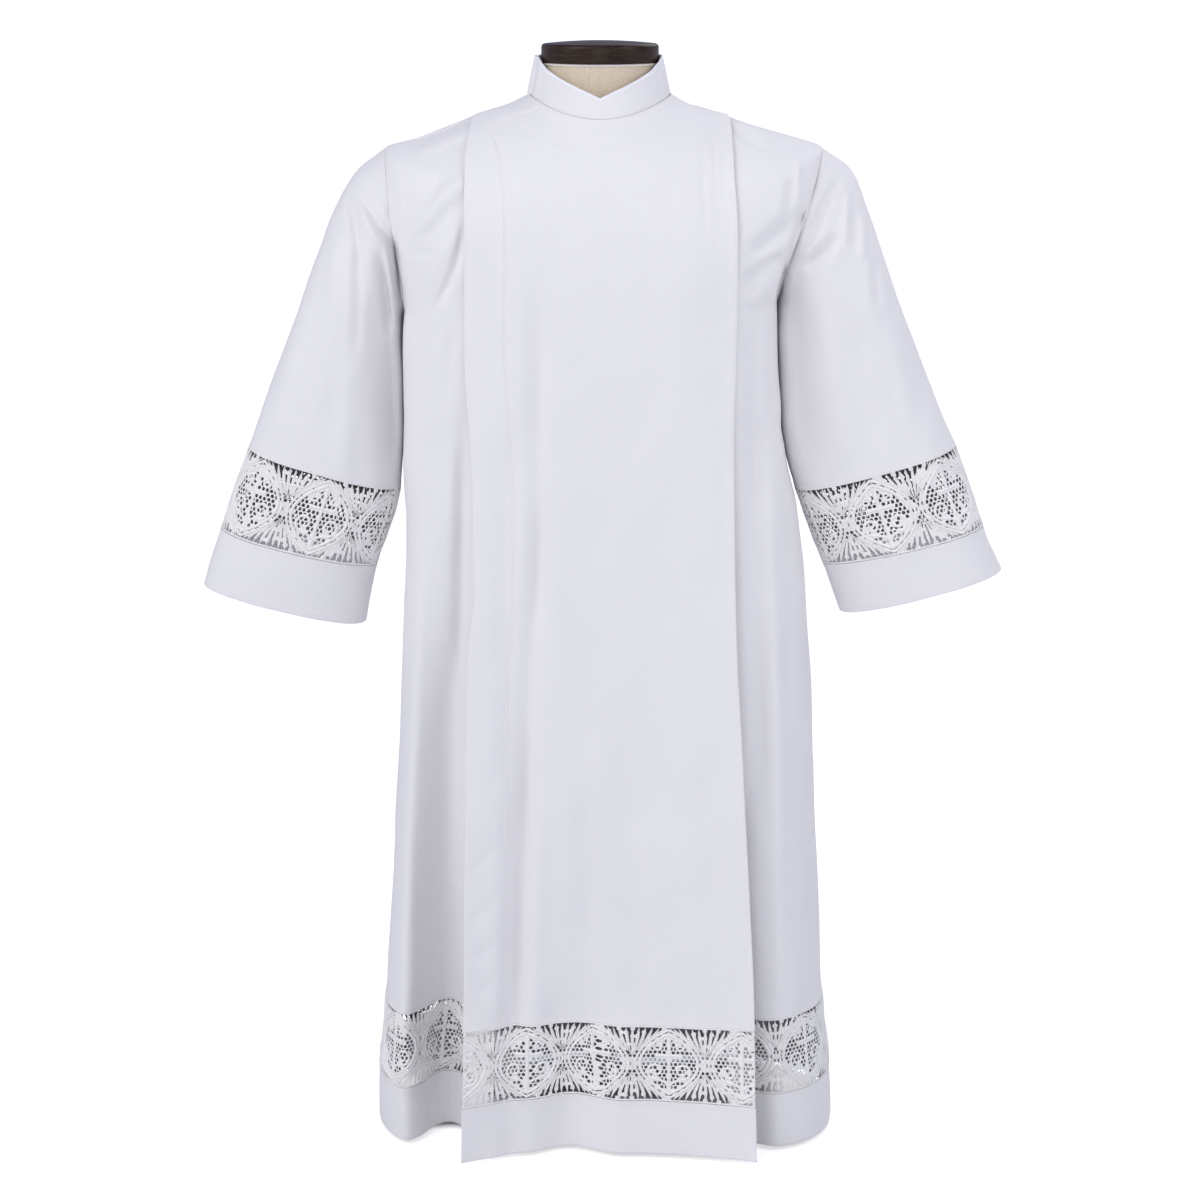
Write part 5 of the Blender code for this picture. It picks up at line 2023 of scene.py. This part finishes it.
@dataclass
class Collar:
    """The standing collar, with its bound edge and its overlap at the wearer's right."""

    gap: float = 1.0
    columns: int = 150
    rows: int = 15
    cloth: float = 0.0020

    def point(self, share: float, angle: float) -> Array:
        """Find a point of the collar.

        Args:
            share: The share of its height.
            angle: Degrees round it, 90 at the front.

        Returns:
            The point.
        """
        cosine, sine = math.cos(math.radians(angle)), math.sin(math.radians(angle))
        deep, middle = (COLLAR_DEEP_FRONT, NECK_FRONT) if sine > 0 else (COLLAR_DEEP_BACK, NECK_BACK)
        foot = NECK_SIDE + (middle - NECK_SIDE) * abs(sine) ** SHOULDER_ROUND + SEAM
        if sine > 0:
            top = float(along(COLLAR_FRONT, COLLAR_FRONT[-1].x * abs(cosine), "top"))
        else:
            top = COLLAR_FRONT[-1].top + (COLLAR_BACK - COLLAR_FRONT[-1].top) * abs(sine)
        rise = share * (top - foot)
        inwards = COLLAR_LEAN * rise
        return np.array(((COLLAR_WIDE - inwards) * cosine, -(deep - inwards) * sine, foot + rise))

    def build(self) -> list[Piece]:
        """Make the collar and its binding.

        Returns:
            The pieces.
        """
        front = np.linspace(COLLAR_OPENING + 4.0, 90.0, 44)
        angles = np.concatenate((front, np.linspace(90.0, COLLAR_OPENING + self.gap - 360, 140)[1:]))
        shares = np.linspace(0.0, 1.0, self.rows)
        surface = Surface(np.array([[self.point(share, angle) for angle in angles] for share in shares]))
        lap = np.clip((angles - (COLLAR_OPENING - 9.0)) / 6.0, 0.0, 1.0)
        depth = 0.0026 * eased(lap)[None, :] * np.ones((self.rows, 1))
        for angle, width, size, low, high in (
            (168.0, 5.0, -0.0012, 0.0, 0.7), (158.0, 4.0, 0.0008, 0.1, 0.9), (150.0, 4.5, -0.0010, 0.0, 0.8),
            (28.0, 5.0, -0.0013, 0.1, 1.0), (20.0, 4.0, 0.0010, 0.2, 1.0), (36.0, 4.0, 0.0008, 0.0, 0.7),
            (-70.0, 9.0, -0.0010, 0.0, 0.8), (-130.0, 8.0, -0.0010, 0.2, 1.0),
        ):
            upright = eased((shares - low + 0.2) / 0.4) * eased((high + 0.2 - shares) / 0.4)
            depth += size * upright[:, None] * np.exp(-(((angles - angle) / width) ** 2))[None, :]
        depth -= 0.0003 * (1 - eased(surface.upwards / 0.003))
        surface.move(depth)
        foot = np.ones(len(angles))
        surface.tuck(Edge.BOTTOM, foot * 0.0030, foot * 0.0011, np.array((0.0, 0.0, -1.0)))
        thick = np.full(surface.points.shape[:2], self.cloth)
        made = surface.shell("alb_collar", CLOTH.build(), thick, (Edge.FIRST, Edge.LAST))
        collar = dress(made, "cloth", "collar")

        rim = surface.points[-1] - surface.normals[-1] * self.cloth / 2
        binding = dress(self._binding(rim, surface.normals[-1]), "cloth")
        stitches = Stitching("stitches_collar")
        stitches.sew(*surface.edge_line(Edge.TOP, 0.0045))
        thread = dress(stitches.build(), "cloth")
        length, heights = float(surface.across[7, -1]), surface.upwards[-1]
        return [collar, binding, thread]

    def _binding(self, rim: Array, normals: Array) -> Piece:
        """Make the rounded binding over the collar's top edge, in a paler cloth that paints a highlight along
        it.

        Args:
            rim: The middle of the edge.
            normals: The collar's normals there.

        Returns:
            The object.
        """
        turns = 2 * np.pi * np.arange(12) / 12
        wide, tall = self.cloth / 2 + 0.0006, 0.0021
        rise = power(np.sin(turns), 0.8) * tall - 0.0012
        rings = rim[:, None] + unit(normals * (1.0, 1.0, 0.0))[:, None] * (np.cos(turns) * wide)[:, None]
        rings[..., 2] += rise
        return tube("collar_binding", rings, BINDING_PAINTED_HIGHLIGHT.build())


# ---------------------------------------------------------------- the dress form


@dataclass
class DressForm:
    """The dress form's cover, pale neck ring, seam and cap, over the frame's stand."""

    sides: int = 112
    cap_radius: float = 0.0605
    cap_low: float = 1.1570

    def ring(self, height: float, grow: float = 0.0) -> Array:
        """Find a ring of the form.

        Args:
            height: Its height.
            grow: How far it lies outside the form.

        Returns:
            Its points.
        """
        turns = 2 * np.pi * np.arange(self.sides) / self.sides
        value = {name: float(along(FORM, height, name)) for name in FormRing._fields[1:]}
        deep = np.where(np.sin(turns) < 0, value["front"], value["back"])
        x = (value["wide"] + grow) * power(np.cos(turns), 2 / value["square"])
        y = (deep + grow) * power(np.sin(turns), 2 / value["square"])
        return np.stack((x, y, np.full(self.sides, height)), axis=1)

    def lathe(self, name: str, rings: list[Array], finish: Material) -> Piece:
        """Join rings into a closed solid.

        Args:
            name: The piece's name.
            rings: Its rings, upwards.
            finish: Its material.

        Returns:
            The object.
        """
        count, sides = len(rings), len(rings[0])
        points, caps = np.concatenate(rings), []
        for at, first, way in ((len(points), 0, -1), (len(points) + 1, (count - 1) * sides, 1)):
            ring = first + np.arange(sides)
            caps.append(np.stack((np.full(sides, at), ring, np.roll(ring, -1)), axis=1)[:, ::way])
        points = np.vstack((points, rings[0].mean(axis=0), rings[-1].mean(axis=0)))
        corners = np.concatenate((between_rings(count, sides), *caps))
        return add_mesh(name, points, corners, finish, sharp=40.0)

    def build(self) -> list[Piece]:
        """Make the form's pieces and finish the stand.

        Returns:
            The pieces.
        """
        heights = np.concatenate((np.linspace(0.430, 1.120, 90), np.linspace(1.122, 1.1567, 16)))
        cover = self.lathe("form_cover", [self.ring(float(z)) for z in heights], LINEN.build())
        dress(cover, "linen", "form_torso")
        pale_ring_rows = (
            (1.1541, 0.0002), (1.1543, 0.0009), (1.1548, 0.0012), (1.1556, 0.0012), (1.1563, 0.0009),
            (1.1566, 0.0002),
        )
        rings = [self.ring(*ring) for ring in pale_ring_rows]
        pale_ring = dress(self.lathe("form_neck_pale_ring", rings, PALE_NECK_RING.build()), "linen")
        seam = dress(self._seam(), "linen")
        cap = dress(self._cap(), "wood", "form_cap")
        steel = SteelFinish().build()
        for node in ("form_flange", "form_pole", "form_base"):
            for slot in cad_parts[node].material_slots:
                slot.material = steel
        return [cover, pale_ring, seam, cap]

    def _seam(self) -> Piece:
        """Make the raised seam down the front of the form's neck and chest.

        Returns:
            The object.
        """
        heights = np.linspace(0.46, 1.1518, 150)
        line = np.stack((0 * heights, -along(FORM, heights, "front"), heights), axis=1)
        half, rise = 0.0011, 0.0006
        section = ((-1.0, -0.5), (-0.75, 0.8), (-0.25, 0.55), (0.25, 0.55), (0.75, 0.8), (1.0, -0.5))
        rings = np.stack([line + (aside * half, -out * rise, 0.0) for aside, out in section], axis=1)
        return tube("form_front_seam", rings, LINEN.build())

    def _cap(self) -> Piece:
        """Turn the neck cap, with a rounded rim and a low dome.

        Returns:
            The object.
        """
        edge, bend, side = self.cap_radius, 0.0040, 0.0150
        profile = [(0.0, edge - 0.0012), (0.0006, edge - 0.0003), (0.0014, edge)]
        profile += [(rise, edge) for rise in (0.005, 0.010, side)]
        for turn in np.radians(np.linspace(12, 90, 8)):
            profile.append((side + bend * math.sin(turn), edge - bend * (1 - math.cos(turn))))
        for share in 1 - np.linspace(0.08, 0.98, 12):
            profile.append((side + bend + 0.0030 * (1 - share**2), (edge - bend) * share))
        turns = 2 * np.pi * np.arange(96) / 96
        circle = np.stack((np.cos(turns), np.sin(turns), 0 * turns), axis=1)
        rings = [circle * radius + (0.0, 0.0, self.cap_low + rise) for rise, radius in profile]
        return self.lathe("form_head_cap", rings, WoodFinish().build())


# ---------------------------------------------------------------- the studio


class Sun(NamedTuple):
    """A soft far light: how high it stands, how far to the wearer's left of the front, and its strength."""

    name: str
    elevation: float
    azimuth: float
    strength: float
    softness: float
    colour: tuple[float, float, float]


class SoftBox(NamedTuple):
    """A soft square lamp near the robe: its place and its power."""

    name: str
    place: tuple[float, float, float]
    power: float


@dataclass
class Studio:
    """The floor, the light and the camera."""

    camera_place: tuple[float, float, float] = (0.0, -2.80, 1.25727)
    camera_aim: tuple[float, float, float] = (0.0, 0.0, 0.58727)
    lens: float = 80.0
    floor_half: float = 150.0
    floor_colour: Colour = (0.88, 0.88, 0.88, 1.0)
    floor_lift: float = 0.56
    shade_middle: tuple[float, float, float] = (0.0, 0.048, 0.0)
    shade_scale: tuple[float, float, float] = (1 / 0.214, 1 / 0.112, 0.0)
    backdrop: Colour = (1.0, 1.0, 1.0, 1.0)
    ambient: Colour = (0.70, 0.76, 1.0, 1.0)
    ambient_strength: float = 0.41
    box_size: float = 1.2
    box_aim: tuple[float, float, float] = (0.0, 0.0, 0.95)
    boxes: tuple[SoftBox, ...] = (
        SoftBox("left_box", (-1.6, -1.0, 1.9), 9.6),
        SoftBox("right_box", (1.6, -1.0, 1.9), 13.4),
        SoftBox("front_box", (0.0, -2.3, 1.6), 7.2),
    )
    suns: tuple[Sun, ...] = (
        Sun("key", 38.0, -42.0, 0.82, 40.0, (1.0, 0.985, 0.965)),
        Sun("back", 34.0, 148.0, 0.75, 40.0, (1.0, 0.99, 0.98)),
    )

    def build(self) -> None:
        """Set up the floor, the light and the camera."""
        bpy.context.scene.view_settings.view_transform = "Standard"
        self._floor()
        self._world()
        for sun in self.suns:
            up, turn = math.radians(sun.elevation), math.radians(sun.azimuth)
            place = Vector((math.sin(turn) * math.cos(up), -math.cos(turn) * math.cos(up), math.sin(up)))
            lamp = self._stand(bpy.data.lights.new(sun.name, "SUN"), place * 4, -place)
            lamp.energy, lamp.angle, lamp.color = sun.strength, math.radians(sun.softness), sun.colour
        for box in self.boxes:
            place = Vector(box.place)
            lamp = self._stand(bpy.data.lights.new(box.name, "AREA"), place, Vector(self.box_aim) - place)
            lamp.shape, lamp.size = "SQUARE", self.box_size
            lamp.energy, lamp.color = box.power, (1.0, 0.99, 0.975)
        place = Vector(self.camera_place)
        camera = self._stand(bpy.data.cameras.new("camera"), place, Vector(self.camera_aim) - place)
        camera.lens, camera.sensor_width = self.lens, 36.0
        bpy.context.scene.camera = bpy.data.objects["camera"]

    @staticmethod
    def _stand(data: bpy.types.ID, place: Vector, look: Vector) -> bpy.types.ID:
        """Stand a lamp or a camera somewhere.

        Args:
            data: The lamp or the camera.
            place: Its place.
            look: The direction in which it points.

        Returns:
            The lamp or the camera.
        """
        made = bpy.data.objects.new(data.name, data)
        bpy.context.scene.collection.objects.link(made)
        made.location = place
        made.rotation_euler = look.to_track_quat("-Z", "Y").to_euler()
        return data

    def _floor(self) -> None:
        """Lay the pale floor."""
        half = self.floor_half
        points = np.array(((-half, -half, 0.0), (half, -half, 0.0), (half, half, 0.0), (-half, half, 0.0)))
        made, nodes = new_material("pale_floor")
        place = nodes.vector("SUBTRACT", nodes.add("TexCoord").outputs["Object"], self.shade_middle)
        away = nodes.vector("ABSOLUTE", nodes.vector("MULTIPLY", place, self.shade_scale))
        sides = nodes.add("SeparateXYZ", {0: away}).outputs
        further = nodes.add("Math", {0: sides[0], 1: sides[1]}, operation="MAXIMUM").outputs[0]
        clear = nodes.spread(further, (0.86, 1.0), (0.0, self.floor_lift))
        ray = nodes.add("LightPath").outputs["Is Camera Ray"]
        lift = nodes.add("Math", {0: ray, 1: clear}, operation="MULTIPLY").outputs[0]
        nodes.surface(
            Base_Color=self.floor_colour, Roughness=0.9, Specular_IOR_Level=0.1,
            Emission_Color=(1.0, 1.0, 1.0, 1.0), Emission_Strength=lift,
        )
        floor = add_mesh("floor", points, np.array(((0, 1, 2, 3),)), made)

    def _world(self) -> None:
        """Set a pale backdrop with a weak bluish light from all round."""
        world = bpy.data.worlds.new("studio")
        bpy.context.scene.world = world
        world.use_nodes = True
        nodes = Nodes(world.node_tree)
        seen = nodes.add("Background", {"Color": self.backdrop, "Strength": 1.0})
        cast = nodes.add("Background", {"Color": self.ambient, "Strength": self.ambient_strength})
        ray = nodes.add("LightPath")
        mix = nodes.add("MixShader", {0: ray.outputs["Is Camera Ray"], 1: cast.outputs[0], 2: seen.outputs[0]})
        nodes.add("OutputWorld", {"Surface": mix.outputs[0]})


# ---------------------------------------------------------------- the whole


def body_panels() -> list[Panel]:
    """List the body's cut pieces.

    Returns:
        The panels.
    """
    front = LAP_AND_FRONT_CREASES + FRONT_CREASES + ARMHOLE_FRONT_CREASES
    both = (Edge.FIRST, Edge.LAST)
    return [
        Panel(
            "back", skin_points, back_ends, no_lift, 3.0, Stations(SEAM_STATIONS, SEAM_STATIONS, 88),
            (), BACK_CREASES + ARMHOLE_BACK_CREASES, 0.030, seams=both, tucked=both, flat=(0.630, 1.02),
            skirt_rows=112, chest_rows=38,
        ),
        LapPanel(
            "lap", lap_points, lap_ends, lap_lift, 3.0,
            Stations((0.0, 0.8, 2.0, 4.5, 8.0), PLACKET_STATIONS, 60),
            LAP_AND_FRONT_CREASES + LAP_CREASES, (), 0.014, free=both, flat=(0.345, 1.02), chest_rows=44,
        ),
        Panel(
            "side_front_right", skin_points, front_right_ends, no_lift, SIDE_TOP,
            Stations(SEAM_STATIONS, SEAM_STATIONS, 66), front, (), -0.011, seams=(Edge.LAST,),
            flat=(0.290, 1.00),
        ),
        Panel(
            "side_front_left", skin_points, front_left_ends, no_lift, SIDE_TOP,
            Stations(SEAM_STATIONS, SEAM_STATIONS, 50), front, (), 0.021, seams=(Edge.FIRST,),
            flat=(0.205, 1.00),
        ),
    ]


def main() -> None:
    """Build every piece in order and report it."""
    logging.basicConfig(level=logging.INFO, format="%(name)s %(message)s")
    Studio().build()
    pieces: list[Piece] = []
    pieces += DressForm().build()
    for panel in body_panels():
        pieces += panel.build()
    pieces += Sleeve(-1, "right").build()
    pieces += Sleeve(1, "left").build()
    pieces += Collar().build()
    triangles = sum(len(p.data.loops) - 2 * len(p.data.polygons) for p in pieces)
    LOG.info("%d pieces, %d triangles", len(pieces), triangles)


if __name__ == "__main__":
    main()
